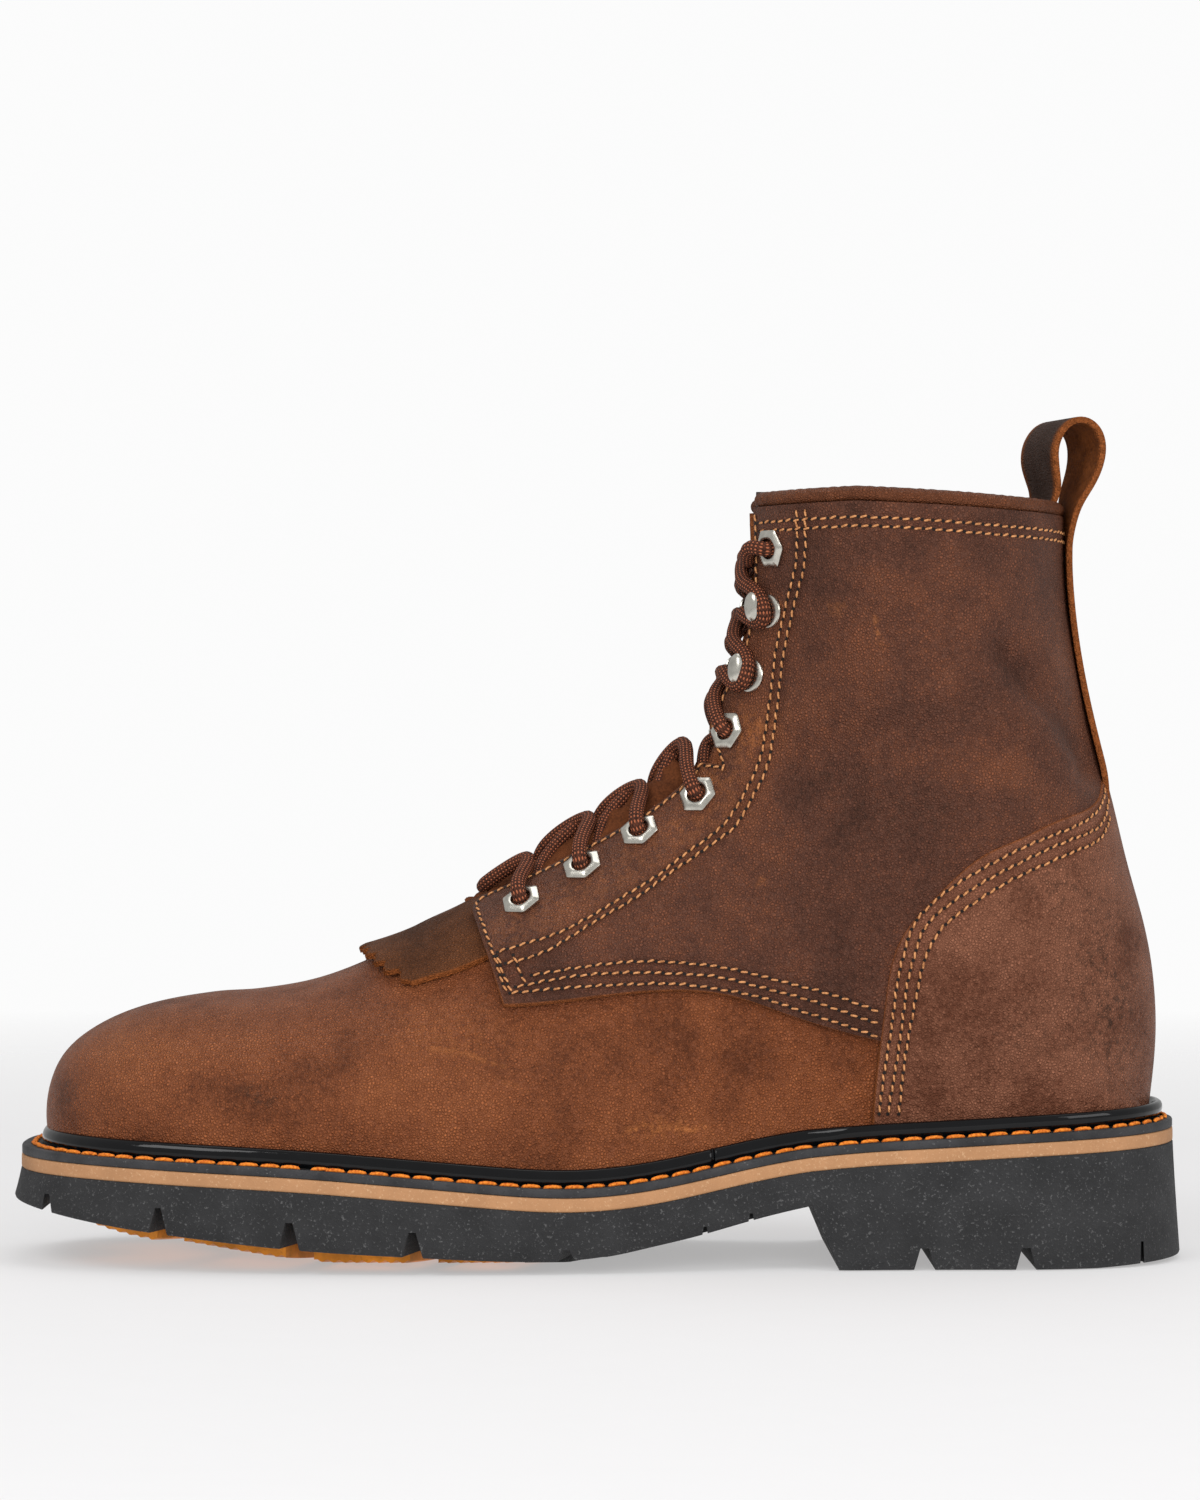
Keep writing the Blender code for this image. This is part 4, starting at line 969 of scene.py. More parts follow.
class Last:
    """The boot's outer surface as a fine grid over section t and share q.

    q runs from -1 at the outer foot of a section, over the ridge at 0, to +1 at the inner foot.
    """

    ROWS, COLS, FINE = 461, 121, 260
    SECTIONS = (
        Section(-100, -147.3, 30.3, 4.2, 0.0, 0.0, 0.01, 0.372, 2.80, 0.0),
        Section(-98, -148.0, 39.5, 4.2, 0.1, 0.1, 0.05, 0.345, 2.80, 0.0),
        Section(-95, -146.2, 48.5, 4.2, 0.3, 0.3, 0.10, 0.305, 2.75, 0.0),
        Section(-91, -140.6, 56.6, 4.1, 0.7, 0.7, 0.14, 0.250, 2.70, 0.0),
        Section(-86, -128.0, 63.9, 4.0, 1.1, 1.1, 0.18, 0.180, 2.60, 0.0),
        Section(-80, -112.0, 68.5, 3.8, 1.4, 1.4, 0.22, 0.100, 2.50, 0.0),
        Section(-72, -94.0, 70.3, 3.4, 1.8, 1.8, 0.25, 0.040, 2.40, 0.0),
        Section(-61, -76.0, 73.6, 3.0, 1.6, 1.8, 0.27, 0.0, 2.30, 0.0),
        Section(-46, -58.0, 81.2, 2.6, 1.4, 1.8, 0.29, 0.0, 2.15, 0.0),
        Section(-28.5, -45.0, 87.6, 2.2, 1.2, 2.0, 0.30, 0.0, 2.05, 0.0),
        Section(-9.8, -33.6, 93.3, 1.8, 0.9, 2.4, 0.31, 0.0, 2.00, 0.0),
        Section(12, -16.0, 104.0, 1.4, 0.7, 3.4, 0.32, 0.0, 1.95, 0.0),
        Section(36, 1.0, 114.5, 1.0, 0.7, 4.2, 0.33, 0.0, 1.95, 0.0),
        Section(62, 15.0, 123.2, 0.6, 1.2, 4.0, 0.34, 0.0, 1.95, 0.0),
        Section(88, 24.5, 132.5, 0.3, 2.2, 3.6, 0.35, 0.0, 1.95, 0.0),
        Section(112, 29.6, 142.0, 0.0, 3.2, 3.8, 0.37, 0.0, 2.00, 0.35),
        Section(132, 32.6, 151.0, 0.0, 3.9, 4.1, 0.40, 0.0, 2.00, 0.85),
        Section(143.7, 35.0, 159.5, 0.0, 4.3, 4.3, 0.43, 0.0, 2.05, 1.0),
        Section(156.7, 36.7, 166.6, 0.0, 4.5, 4.5, 0.45, 0.0, 2.05, 1.0),
        Section(175.7, 37.9, 173.2, 0.0, 4.8, 4.8, 0.46, 0.0, 2.05, 1.0),
        Section(200.7, 38.7, 179.5, 0.0, 5.2, 5.2, 0.47, 0.0, 2.05, 1.0),
        Section(229.7, 39.1, 185.6, 0.0, 5.9, 5.9, 0.48, 0.0, 2.05, 1.0),
        Section(261.7, 39.3, 191.4, 0.0, 6.9, 6.9, 0.49, 0.0, 2.05, 1.0),
        Section(305.5, 39.4, 199.0, 0.0, 8.2, 8.2, 0.50, 0.0, 2.10, 1.0),
    )
    BACK = ((36.5, 143.7), (50, 145.2), (63, 145.9), (80, 144.4), (100, 139.8), (125, 132.9), (150, 126.7),
            (175, 122.9), (199, 121.9))
    ARCH = ((40, 0.2), (67, 1.1), (92, -0.3), (107, -1.2), (124, -1.9))
    CREASES = (
        Stroke(((106, 160), (112.6, 151), (120.8, 143.6), (125, 137), (128, 131)), 4.2, -2.8),
        Stroke(((101, 153), (107, 145), (114, 138), (120, 131)), 6.0, 1.9),
        Stroke(((112, 141), (118, 137), (125, 134.5)), 1.6, -0.5),
        Stroke(((109, 136.5), (116, 132.5), (124, 130)), 1.8, -0.45),
        Stroke(((54, 148), (66, 150), (80, 147)), 11.0, 1.4),
        Stroke(((50, 131), (64, 137), (84, 139)), 8.0, -1.2),
        Stroke(((74, 128), (90, 127), (104, 128)), 7.0, 1.1),
        Stroke(((-52, 72), (-42, 62), (-36, 52)), 6.0, -0.35),
        Stroke(((-68, 66), (-58, 56), (-50, 46)), 7.0, -0.3),
        Stroke(((20, 62), (40, 55), (60, 50)), 9.0, -0.5),
    )

    def __init__(self, plan: SolePlan) -> None:
        """Lay out the surface grid and its creases.

        Args:
            plan: plan of the sole.
        """
        self.plan = plan
        self.back_of = pairs_spline(self.BACK)
        self.t = np.linspace(0, COLLAR, self.ROWS)
        index = np.arange(len(self.SECTIONS))
        columns = zip(Section._fields, zip(*self.SECTIONS))
        self.columns = {name: spline(index, values) for name, values in columns}
        drawn = [self.section(float(t)) for t in self.t]
        self.points = np.array([d[0] for d in drawn])
        self.rise = np.array([d[1] for d in drawn])
        self.length = np.array([d[2] for d in drawn])
        self.feet = np.array([[self.row(t)["foot_x"], self.row(t)["foot_z"]] for t in self.t])
        self.tops = np.stack([self.columns["top_x"](self.t), self.columns["top_z"](self.t)], 1)
        self.normals = self.find_normals()
        self.points = self.eased()
        self.normals = self.find_normals()
        self.points = self.points + self.normals * self.relief()[..., None]
        self.normals = self.find_normals()

    def row(self, t: float) -> dict[str, float]:
        """Read the section table at t, with its foot.

        Args:
            t: place among the sections.

        Returns:
            The values by name.
        """
        value = {name: float(read(t)) for name, read in self.columns.items()}
        foot, tip = value["foot"], self.plan.HEEL_TIP
        if foot <= tip:
            value["foot_x"], value["foot_z"] = foot, float(self.plan.seat(foot))
        else:
            base = float(self.plan.seat(tip))
            value["foot_z"] = base + foot - tip
            shift = (tip - float(self.back_of(base))) * max(0.0, 1.0 - (value["foot_z"] - base) / 20.0)
            value["foot_x"] = float(self.back_of(value["foot_z"])) + shift
        return value

    def section(self, t: float) -> tuple[Array, Array, tuple[float, float]]:
        """Draw one section.

        Args:
            t: place among the sections.

        Returns:
            Points from the outer to the inner foot, their shares of the height, and both half lengths.
        """
        row = self.row(t)
        run = row["top_x"] - row["foot_x"]
        climb = row["top_z"] - row["foot_z"]
        x_in_plan = min(row["foot"], self.plan.HEEL_TIP)
        foot_half = 0.0 if row["foot"] > self.plan.HEEL_TIP else float(self.plan.half(x_in_plan))
        body = float(self.plan.half(min(x_in_plan, self.plan.HEEL_CENTRE)))
        middle = float(self.plan.centre(x_in_plan))
        belly = max(row["belly"], 0.004)
        start = max(row["start"], 0.0)
        curl = min(max(row["curl"], 0.0), 1.0)
        halves = []
        for side, out in ((-1, row["out_lateral"]), (1, row["out_medial"])):
            wide = body + max(out, 0.0)
            share = np.sin(np.linspace(math.pi / 2, 0, self.FINE)) ** (2 / row["crown"])
            top_y = wide * superellipse(start + (1 - start) * share, row["crown"])
            top_y = top_y / float(superellipse(start, row["crown"]))
            turn = np.linspace(0, math.pi / 2, self.FINE // 2)[1:]
            low_s = belly * (1 - np.sin(turn))
            wall = smooth(low_s / belly)
            low_y = foot_half + (wide - foot_half) * ((1 - curl) * wall + curl * np.cos(turn))
            s = np.concatenate([belly + (1 - belly) * share, low_s])
            y = np.concatenate([top_y, low_y])
            centre = middle + (row["ridge_y"] - middle) * s
            path = np.stack([row["foot_x"] + run * s, centre + side * y, row["foot_z"] + climb * s], 1)
            arc = arc_of(path)
            want = np.linspace(0, arc[-1], self.COLS)
            even = np.stack([np.interp(want, arc, path[:, i]) for i in range(3)], 1)
            halves.append((even, np.interp(want, arc, s), float(arc[-1])))
        (outer, outer_s, outer_arc), (inner, inner_s, inner_arc) = halves
        return (np.concatenate([outer[::-1], inner[1:]]), np.concatenate([outer_s[::-1], inner_s[1:]]),
                (outer_arc, inner_arc))

    def arch(self, x: Array) -> Array:
        """Give how far the collar's line bows up or down along the boot."""
        return np.interp(x, *zip(*self.ARCH))

    def eased(self) -> Array:
        """Soften the turn into the back seam, bow the collar and fill the toe's top.

        Returns:
            The grid's points.
        """
        points = self.points
        offsets = np.arange(-22, 23)
        weights = np.exp(-(offsets / 9.0) ** 2)
        weights /= weights.sum()
        index = np.arange(self.ROWS)
        soft = np.zeros_like(points)
        for offset, weight in zip(offsets, weights):
            soft += weight * points[np.clip(index + offset, 0, self.ROWS - 1)]
        q = np.linspace(-1, 1, points.shape[1])
        share = np.exp(-((self.t - HEEL_END) / 0.8) ** 2)[:, None] * smooth((1 - np.abs(q)) / 0.12)[None, :]
        move = np.sum((soft - points) * self.normals, axis=-1) * share
        points = points + self.normals * move[..., None]
        x, z = points[..., 0], points[..., 2]
        fill = 0.65 * smooth((-x - 92) / 12) * smooth((z - 50) / 14)
        points[..., 2] += self.arch(x) * smooth((z - 165) / 34) + fill
        return points

    def find_normals(self) -> Array:
        """Give outward normals on the grid, joined across the back seam.

        Returns:
            One normal for each point.
        """
        normal = np.cross(np.gradient(self.points, axis=1), np.gradient(self.points, axis=0))
        size = np.linalg.norm(normal, axis=2)
        weak = size < 0.004
        normal /= np.maximum(size, 1e-9)[..., None]
        if normal[self.ROWS // 3, self.COLS // 2, 1] > 0:
            normal = -normal
        closed = self.t >= HEEL_END
        seam = unit(normal[closed, 0] + normal[closed, -1])
        normal[closed, 0] = seam
        normal[closed, -1] = seam
        for i in np.where(weak.any(1))[0]:
            good = np.where(~weak[i])[0]
            for j in np.where(weak[i])[0]:
                normal[i, j] = normal[i, good[np.argmin(abs(good - j))]]
        return normal

    def relief(self) -> Array:
        """Give the height of creases and soft waves over the grid.

        Returns:
            The heights.
        """
        x, z = self.points[..., 0], self.points[..., 2]
        flank = smooth((np.abs(self.normals[..., 1]) - 0.15) / 0.35)
        height = np.zeros_like(x)
        for crease in self.CREASES:
            height += crease.over(x, z) * flank
        wave = np.sin(x * 0.083 + z * 0.031) * np.sin(z * 0.067 - x * 0.021 + 1.3)
        wave += 0.6 * np.sin(x * 0.171 - z * 0.12 + self.points[..., 1] * 0.05)
        calm = smooth((z - 40) / 30) * smooth((196 - z) / 12)
        return height + 0.28 * wave * calm

    def read(self, grid: Array, t: Array, q: Array) -> Array:
        """Read a grid between its rows and columns.

        Args:
            grid: points or normals of the grid.
            t: sections.
            q: shares across them.

        Returns:
            The values there.
        """
        t, q = np.broadcast_arrays(np.asarray(t, float), np.asarray(q, float))
        u = np.clip(t, 0, COLLAR) / COLLAR * (self.ROWS - 1)
        v = (np.clip(q, -1, 1) + 1) * (self.COLS - 1)
        i = np.clip(u.astype(int), 0, self.ROWS - 2)
        j = np.clip(v.astype(int), 0, grid.shape[1] - 2)
        a = (u - i)[..., None]
        b = (v - j)[..., None]
        low = grid[i, j] * (1 - b) + grid[i, j + 1] * b
        high = grid[i + 1, j] * (1 - b) + grid[i + 1, j + 1] * b
        return low * (1 - a) + high * a

    def normal(self, t: Array, q: Array) -> Array:
        """Give outward normals."""
        return unit(self.read(self.normals, t, q))

    def at(self, t: Array, q: Array, lift: Array = 0.0) -> Array:
        """Give points on the surface, moved outward by a lift."""
        return self.read(self.points, t, q) + self.normal(t, q) * np.asarray(lift, float)[..., None]

    def half_length(self, t: Array, side: int) -> Array:
        """Give the length of the curve from ridge to foot on one side."""
        return np.interp(t, self.t, self.length[:, 0 if side < 0 else 1])

    def share_of(self, t: Array, side: int, over: Array) -> Array:
        """Turn a distance over the surface from the ridge into q."""
        return side * np.asarray(over, float) / self.half_length(t, side)

    def across(self, t: Array, sign: Array, over: Array) -> Array:
        """Turn distances from the ridge into q, on the side of a sign."""
        return np.where(sign < 0, self.share_of(t, -1, over), self.share_of(t, 1, over))

    def q_at_rise(self, t: float, side: int, rise: float) -> float:
        """Find q on one side where a section reaches a share of its height.

        Args:
            t: place among the sections.
            side: -1 for the outer side, 1 for the inner side.
            rise: share of the section's height.

        Returns:
            The share q.
        """
        u = min(max(t, 0), COLLAR) / COLLAR * (self.ROWS - 1)
        i = min(int(u), self.ROWS - 2)
        shares = self.rise[i] * (1 - (u - i)) + self.rise[i + 1] * (u - i)
        shares = shares[:self.COLS][::-1] if side < 0 else shares[self.COLS - 1:]
        return side * float(np.interp(rise, shares[::-1], np.linspace(0, 1, self.COLS)[::-1]))

    def locate(self, x: float, z: float) -> tuple[float, float]:
        """Find the section and the share of its height at a side-view place.

        Args:
            x: place along the boot.
            z: its height.

        Returns:
            The section t and the share of its height.
        """
        run = self.tops - self.feet
        to = np.array([x, z]) - self.feet
        cross = run[:, 0] * to[:, 1] - run[:, 1] * to[:, 0]
        share = (run * to).sum(1) / (run ** 2).sum(1)
        for i in range(len(self.t) - 1):
            if -0.05 <= share[i] <= 1.1 and cross[i] * cross[i + 1] <= 0:
                w = cross[i] / (cross[i] - cross[i + 1]) if cross[i] != cross[i + 1] else 0.0
                return (float(self.t[i] + w * (self.t[i + 1] - self.t[i])),
                        float(share[i] + w * (share[i + 1] - share[i])))
        raise ValueError("no section passes the place")

    def follow(self, rows: Line, count: int) -> list[tuple[float, float]]:
        """Find sections and shares of their height along a side-view line."""
        line = round_path(np.array([(x, 0.0, z) for x, z in rows], float), count)
        return [self.locate(float(p[0]), float(p[2])) for p in line]

    def trace(self, rows: Line, count: int = 120) -> tuple[Array, Array]:
        """Turn a side-view line into places on the outer side.

        Args:
            rows: (x, z) points of the line.
            count: how many places to give.

        Returns:
            Sections and shares q along the line.
        """
        found = self.follow(rows, count)
        q = [self.q_at_rise(t, -1, min(max(rise, 0.0), 1.0)) for t, rise in found]
        return np.array([t for t, _ in found]), np.array(q)


@dataclass
class Pattern:
    """Edges and lifts of the leather pieces over the last."""

    last: Last
    overlay_gap: float = 0.4
    quarter: float = 1.7
    counter: float = 2.45
    counter_foot: float = 2.6
    facing: Rows = (
        (0, 12.5), (12, 12.2), (13, 11.0), (14, 10.8), (15, 7.6), (16, 7.6), (17, 10.4), (18, 12.3),
        (20, 13.7), (23, 15.4))
    notch_at: float = 14.6
    notch_reach: float = 0.46
    notch_depth: float = 9.5
    corner: float = 5.0
    seam_inset: float = 1.75
    quarter_edge: Rows = (
        (-25.2, 67.9), (-15.5, 68.4), (0.0, 70.3), (12.9, 71.7), (24.8, 71.7), (36.2, 69.9), (47.7, 66.1),
        (59.8, 62.3), (73.0, 58.9), (82.0, 56.8))
    counter_edge: Rows = (
        (70.6, 33.5), (71.7, 46.9), (73.2, 60.0), (74.3, 68.9), (76.0, 78.9), (79.7, 87.6), (87.6, 96.8),
        (99.0, 107.2), (108.3, 111.7), (117.6, 116.0), (124.0, 118.2), (127.8, 119.9), (130.0, 122.2),
        (131.0, 125.0), (131.6, 127.6))
    eyelets: Rows = (
        (-19.6, 93.1), (-4.0, 103.1), (11.1, 112.4), (27.0, 122.2), (35.2, 139.4), (39.4, 156.8),
        (43.6, 173.8), (46.6, 188.0))
    hook_rows: tuple[int, ...] = (5, 6)
    hook_back: float = 4.6

    def __post_init__(self) -> None:
        """Lay the edges on the last."""
        self.quarter_line = self.line_of(self.quarter_edge)
        self.counter_line = self.line_of(self.counter_edge)
        self.counter_first = float(self.counter_line[0][0])
        self.counter_last = float(self.counter_line[0][-1])
        self.quarter_top = self.overlay_gap + self.quarter
        self.counter_top = self.overlay_gap + self.counter
        self.step = self.rate(THROAT + 0.2, 0.5)

    def line_of(self, rows: Line) -> tuple[Array, Array]:
        """Turn a side-view edge into height shares over the sections."""
        t, rise = zip(*sorted(self.last.follow(rows, 160)))
        return np.array(t), np.array(rise)

    def plain_half(self, t: Array) -> Array:
        """Give the half width of the throat without its notch and corner."""
        return np.interp(t, *zip(*self.facing))

    def facing_half(self, t: Array, inset: float = 0.0) -> Array:
        """Give the half width of the throat, with the flex notch and the rounded front corner.

        Args:
            t: sections.
            inset: distance kept inside the cut edge.

        Returns:
            Distances over the surface from the ridge.
        """
        notch = np.clip(1 - np.abs(np.asarray(t) - self.notch_at) / self.notch_reach, 0, 1)
        bend = self.corner - inset
        ahead = np.clip((np.asarray(t, float) - THROAT) * self.step - inset, 0, bend)
        turn = bend - np.sqrt(bend ** 2 - (bend - ahead) ** 2)
        return self.plain_half(t) + self.notch_depth * notch + inset + turn

    def counter_q(self, t: float, side: int) -> float:
        """Find q on the counter's edge.

        Args:
            t: place among the sections.
            side: -1 for the outer side, 1 for the inner side.

        Returns:
            The share q.
        """
        if t <= self.counter_first or t >= self.counter_last:
            return side * 1.0
        return self.last.q_at_rise(t, side, float(np.interp(t, *self.counter_line)))

    def quarter_q(self, t: float, side: int) -> float:
        """Find where the quarter ends below: its own edge, or out of sight under the counter.

        Args:
            t: place among the sections.
            side: -1 for the outer side, 1 for the inner side.

        Returns:
            The share q.
        """
        if t <= self.quarter_line[0][-1]:
            return self.last.q_at_rise(t, side, float(np.interp(t, *self.quarter_line)))
        tuck = 5.0 / float(self.last.half_length(t, side))
        return side * min(abs(self.counter_q(t, side)) + tuck, 1.0)

    def corner_lift(self, t: Array, over: Array) -> Array:
        """Give how far the quarter's front corner rides up over the kiltie."""
        return 1.7 * smooth((11.3 - np.asarray(t)) / 1.2) * smooth((44.0 - np.asarray(over)) / 8.0)

    def on_quarter(self, t: Array, q: Array, lift: float = 0.0) -> Array:
        """Give points on the quarter's face."""
        length = np.where(np.asarray(q) < 0, self.last.half_length(t, -1), self.last.half_length(t, 1))
        return self.last.at(t, q, self.quarter_top + self.corner_lift(t, np.abs(q) * length) + lift)

    def hardware(self, number: int, side: int) -> tuple[float, float]:
        """Give the place of an eyelet or hook.

        Args:
            number: row of the eyelet or hook.
            side: -1 for the outer side, 1 for the inner side.

        Returns:
            Its section t and share q.
        """
        t, rise = self.last.locate(*self.eyelets[number])
        over = abs(self.last.q_at_rise(t, -1, rise)) * float(self.last.half_length(t, -1))
        over += self.hook_back if number in self.hook_rows else 0.0
        return t, float(self.last.share_of(t, side, over))

    def rate(self, t: float, q: float) -> float:
        """Give millimetres along the surface in one section step."""
        return float(np.linalg.norm(self.last.at(t + 0.1, q) - self.last.at(t - 0.1, q)) / 0.2)


def stops(total: Array, count: int, near: Sequence[float]) -> Array:
    """Share out columns with close ones at both ends.

    Args:
        total: length of each row.
        count: columns between the close ones.
        near: distances of the close columns from an end.

    Returns:
        Distances from the first end, row by row.
    """
    total = np.asarray(total, float)
    squeeze = np.minimum(1.0, total / (2.4 * near[-1]))[:, None]
    first = np.asarray(near)[None, :] * squeeze
    last = total[:, None] - first[:, ::-1]
    share = np.linspace(0, 1, count + 2)[1:-1][None, :]
    inner = first[:, -1:] + (last[:, :1] - first[:, -1:]) * share
    return np.concatenate([first, inner, last], 1)


NEAR = (0.0, 0.06, 0.22, 0.5, 0.95, 1.7, 2.8)


def rolled(distance: Array) -> Array:
    """Give the share of a cut sheet's thickness reached at a distance from its edge."""
    return np.interp(distance, [0.0, 0.06, 0.22, 0.5, 0.95, 1.7], [0.0, 0.66, 0.85, 0.95, 0.99, 1.0])


# Wear, dirt and tone that follow the photograph, with painted shade and highlight on the shaft's folds.


class Mark(NamedTuple):
    """A painted patch on the outer side: place in side view, reach and amount."""

    x: float
    z: float
    reach_x: float
    reach_z: float
    amount: float

    def over(self, x: Array, z: Array) -> Array:
        """Give the mark's amount at side-view places."""
        return self.amount * np.exp(-((x - self.x) / self.reach_x) ** 2 - ((z - self.z) / self.reach_z) ** 2)


WEAR_MARKS = (
    Mark(16, 37, 11, 3, 0.5), Mark(40, 140, 5, 5, 0.4), Mark(46, 172, 2.5, 3, 0.5),
    Mark(-40, 62, 16, 8, 0.25), Mark(-120, 58, 18, 8, 0.2), Mark(27, 127, 5, 4, 0.45),
    Mark(62, 172, 3, 2, 0.35),
)
WEAR_STROKES = (
    Stroke(((-24, 88), (8, 104), (32, 120), (41, 142)), 7.0, 0.22),
    Stroke(((8.8, 36.2), (15.5, 36.9)), 0.7, 0.7),
    Stroke(((18.0, 36.3), (26.0, 36.8)), 0.7, 0.7),
    Stroke(((71.3, 169.6), (73.2, 161.6)), 0.5, 0.55),
    Stroke(((18.6, 115.2), (22.0, 114.3)), 0.6, 0.6),
    Stroke(((41.6, 99.4), (42.8, 101.6)), 0.6, 0.5),
    Stroke(((-46.5, 58.3), (-36.0, 56.6), (-23.0, 52.3)), 0.6, 0.5),
    Stroke(((-28.0, 50.5), (-19.0, 47.0)), 0.5, 0.35),
    Stroke(((-58.0, 46.0), (-52.0, 49.5)), 0.5, 0.3),
)
DIRT_MARKS = (
    Mark(-88, 45.5, 6, 4, 0.7), Mark(-141, 45, 5, 5, 0.5), Mark(130, 80, 9, 20, 0.6),
    Mark(136, 60, 7, 14, 0.6), Mark(118, 100, 9, 8, 0.45), Mark(80, 120, 16, 9, 0.4),
    Mark(60, 128, 10, 5, 0.4), Mark(110, 60, 14, 8, 0.35),
)
# Tone marks; the two dark marks on the crease behind the ankle, at (112, 152) and (122, 140), are painted
# shade.
TONE_AND_SHADE_MARKS = (
    Mark(-30, 60, 26, 14, 0.03), Mark(-118, 55, 26, 12, 0.03), Mark(22, 54, 26, 10, -0.08),
    Mark(60, 155, 16, 16, 0.04), Mark(20, 118, 16, 10, 0.19), Mark(70, 110, 22, 14, -0.03),
    Mark(100, 165, 18, 20, -0.02), Mark(42, 150, 6, 32, 0.2), Mark(120, 175, 8, 20, 0.02),
    Mark(-10, 92, 17, 8, 0.17), Mark(-89, 44.5, 10, 7, -0.14), Mark(-141, 45, 7, 8, -0.13),
    Mark(-116, 66, 16, 5, -0.06), Mark(-60, 70, 14, 6, -0.06), Mark(-70, 52, 12, 6, -0.05),
    Mark(112, 152, 7, 7, -0.06), Mark(122, 140, 6, 8, -0.07), Mark(112, 42, 28, 8, -0.05),
    Mark(141, 70, 8, 38, -0.1), Mark(-105, 40, 20, 5, 0.05), Mark(-40, 45, 26, 7, 0.05),
)
# Painted shade in the troughs of the shaft's folds and painted highlight on their ridges.
FOLD_SHADING_STROKES = (
    Stroke(((103, 160), (112, 150), (119, 143), (123, 135)), 4.0, -0.1),
    Stroke(((110, 137), (118, 131), (125.6, 123.5)), 3.0, -0.08),
    Stroke(((79, 130), (95, 129.5), (108, 130)), 5.0, 0.07),
    Stroke(((60, 150), (74, 157), (90, 151)), 7.0, 0.04),
    Stroke(((50, 123), (57, 115), (68, 112)), 6.0, -0.06),
    Stroke(((96, 150), (84, 143), (70, 141)), 6.0, -0.05),
    Stroke(((84, 124), (98, 120), (112, 122)), 4.0, -0.04),
)
PAINT = {"wear": WEAR_MARKS + WEAR_STROKES, "dirt": DIRT_MARKS, "tone": TONE_AND_SHADE_MARKS + FOLD_SHADING_STROKES}


def paint(points: Array) -> dict[str, Array]:
    """Paint wear, dirt, and tone with painted shade and highlight on leather points by their place in the
    side view.
    """
    x, _, z = points.reshape(-1, 3).T
    return {name: sum(mark.over(x, z) for mark in marks) for name, marks in PAINT.items()}


def sewn(points: Array, rows: Sequence[Line], reach: float = 0.9) -> Array:
    """Give 1 on side-view seams, fading out to either side; the leather shows it as painted shade along the
    stitching.

    Args:
        points: points of the leather.
        rows: side-view seams.
        reach: how far the mark spreads.

    Returns:
        One value for each point.
    """
    near = np.full(points.shape[:-1], 1e9)
    for row in rows:
        near = np.minimum(near, line_distance(points[..., 0], points[..., 2], row))
    return np.exp(-(near / reach) ** 2)


# Leather pieces.


@dataclass
class Upper:
    """The vamp and the lining of the shaft: one hollow wall."""

    pattern: Pattern
    rows: int = 230
    cols: int = 62
    wall: float = 2.0
    lap: float = 1.6
    bridge: int = 14

    def build(self) -> None:
        """Build the wall, open at the collar, the throat and underneath."""
        last = self.pattern.last
        t = np.unique(np.concatenate([np.linspace(0, COLLAR, self.rows), [THROAT]]))
        over = self.pattern.plain_half(t) + self.lap
        spread = np.linspace(0, 1, self.cols + 1)
        left = last.share_of(t, -1, over)[:, None]
        right = last.share_of(t, 1, over)[:, None]
        middle = np.linspace(0, 1, self.bridge + 1)[None, 1:-1]
        q = np.concatenate([-1 + (left + 1) * spread, left + (right - left) * middle,
                            right + (1 - right) * spread], 1)
        grid = np.repeat(t[:, None], q.shape[1], 1)
        first = int(np.argmin(np.abs(t - THROAT)))
        throat = range(self.cols, self.cols + self.bridge)
        faces = [f for f in quads(*q.shape) if f[0] // q.shape[1] < first or f[0] % q.shape[1] not in throat]
        outer = last.at(grid, q, np.zeros_like(q))
        inner = last.at(grid, q, np.full_like(q, -self.wall))
        part = Part()
        part.add(outer, [f[::-1] for f in faces], 0, **paint(outer))
        part.add(inner, faces, 1)
        count = q.size
        edges = dict.fromkeys(pair for f in faces for pair in zip(f, f[1:] + f[:1]))
        part.close([(a, b, b + count, a + count) for a, b in edges if (b, a) not in edges], 1)
        piece = part.object("vamp_and_lining", [VAMP, LINING], weld=0.01)
        fit(piece, Slot.VAMP, "upper")


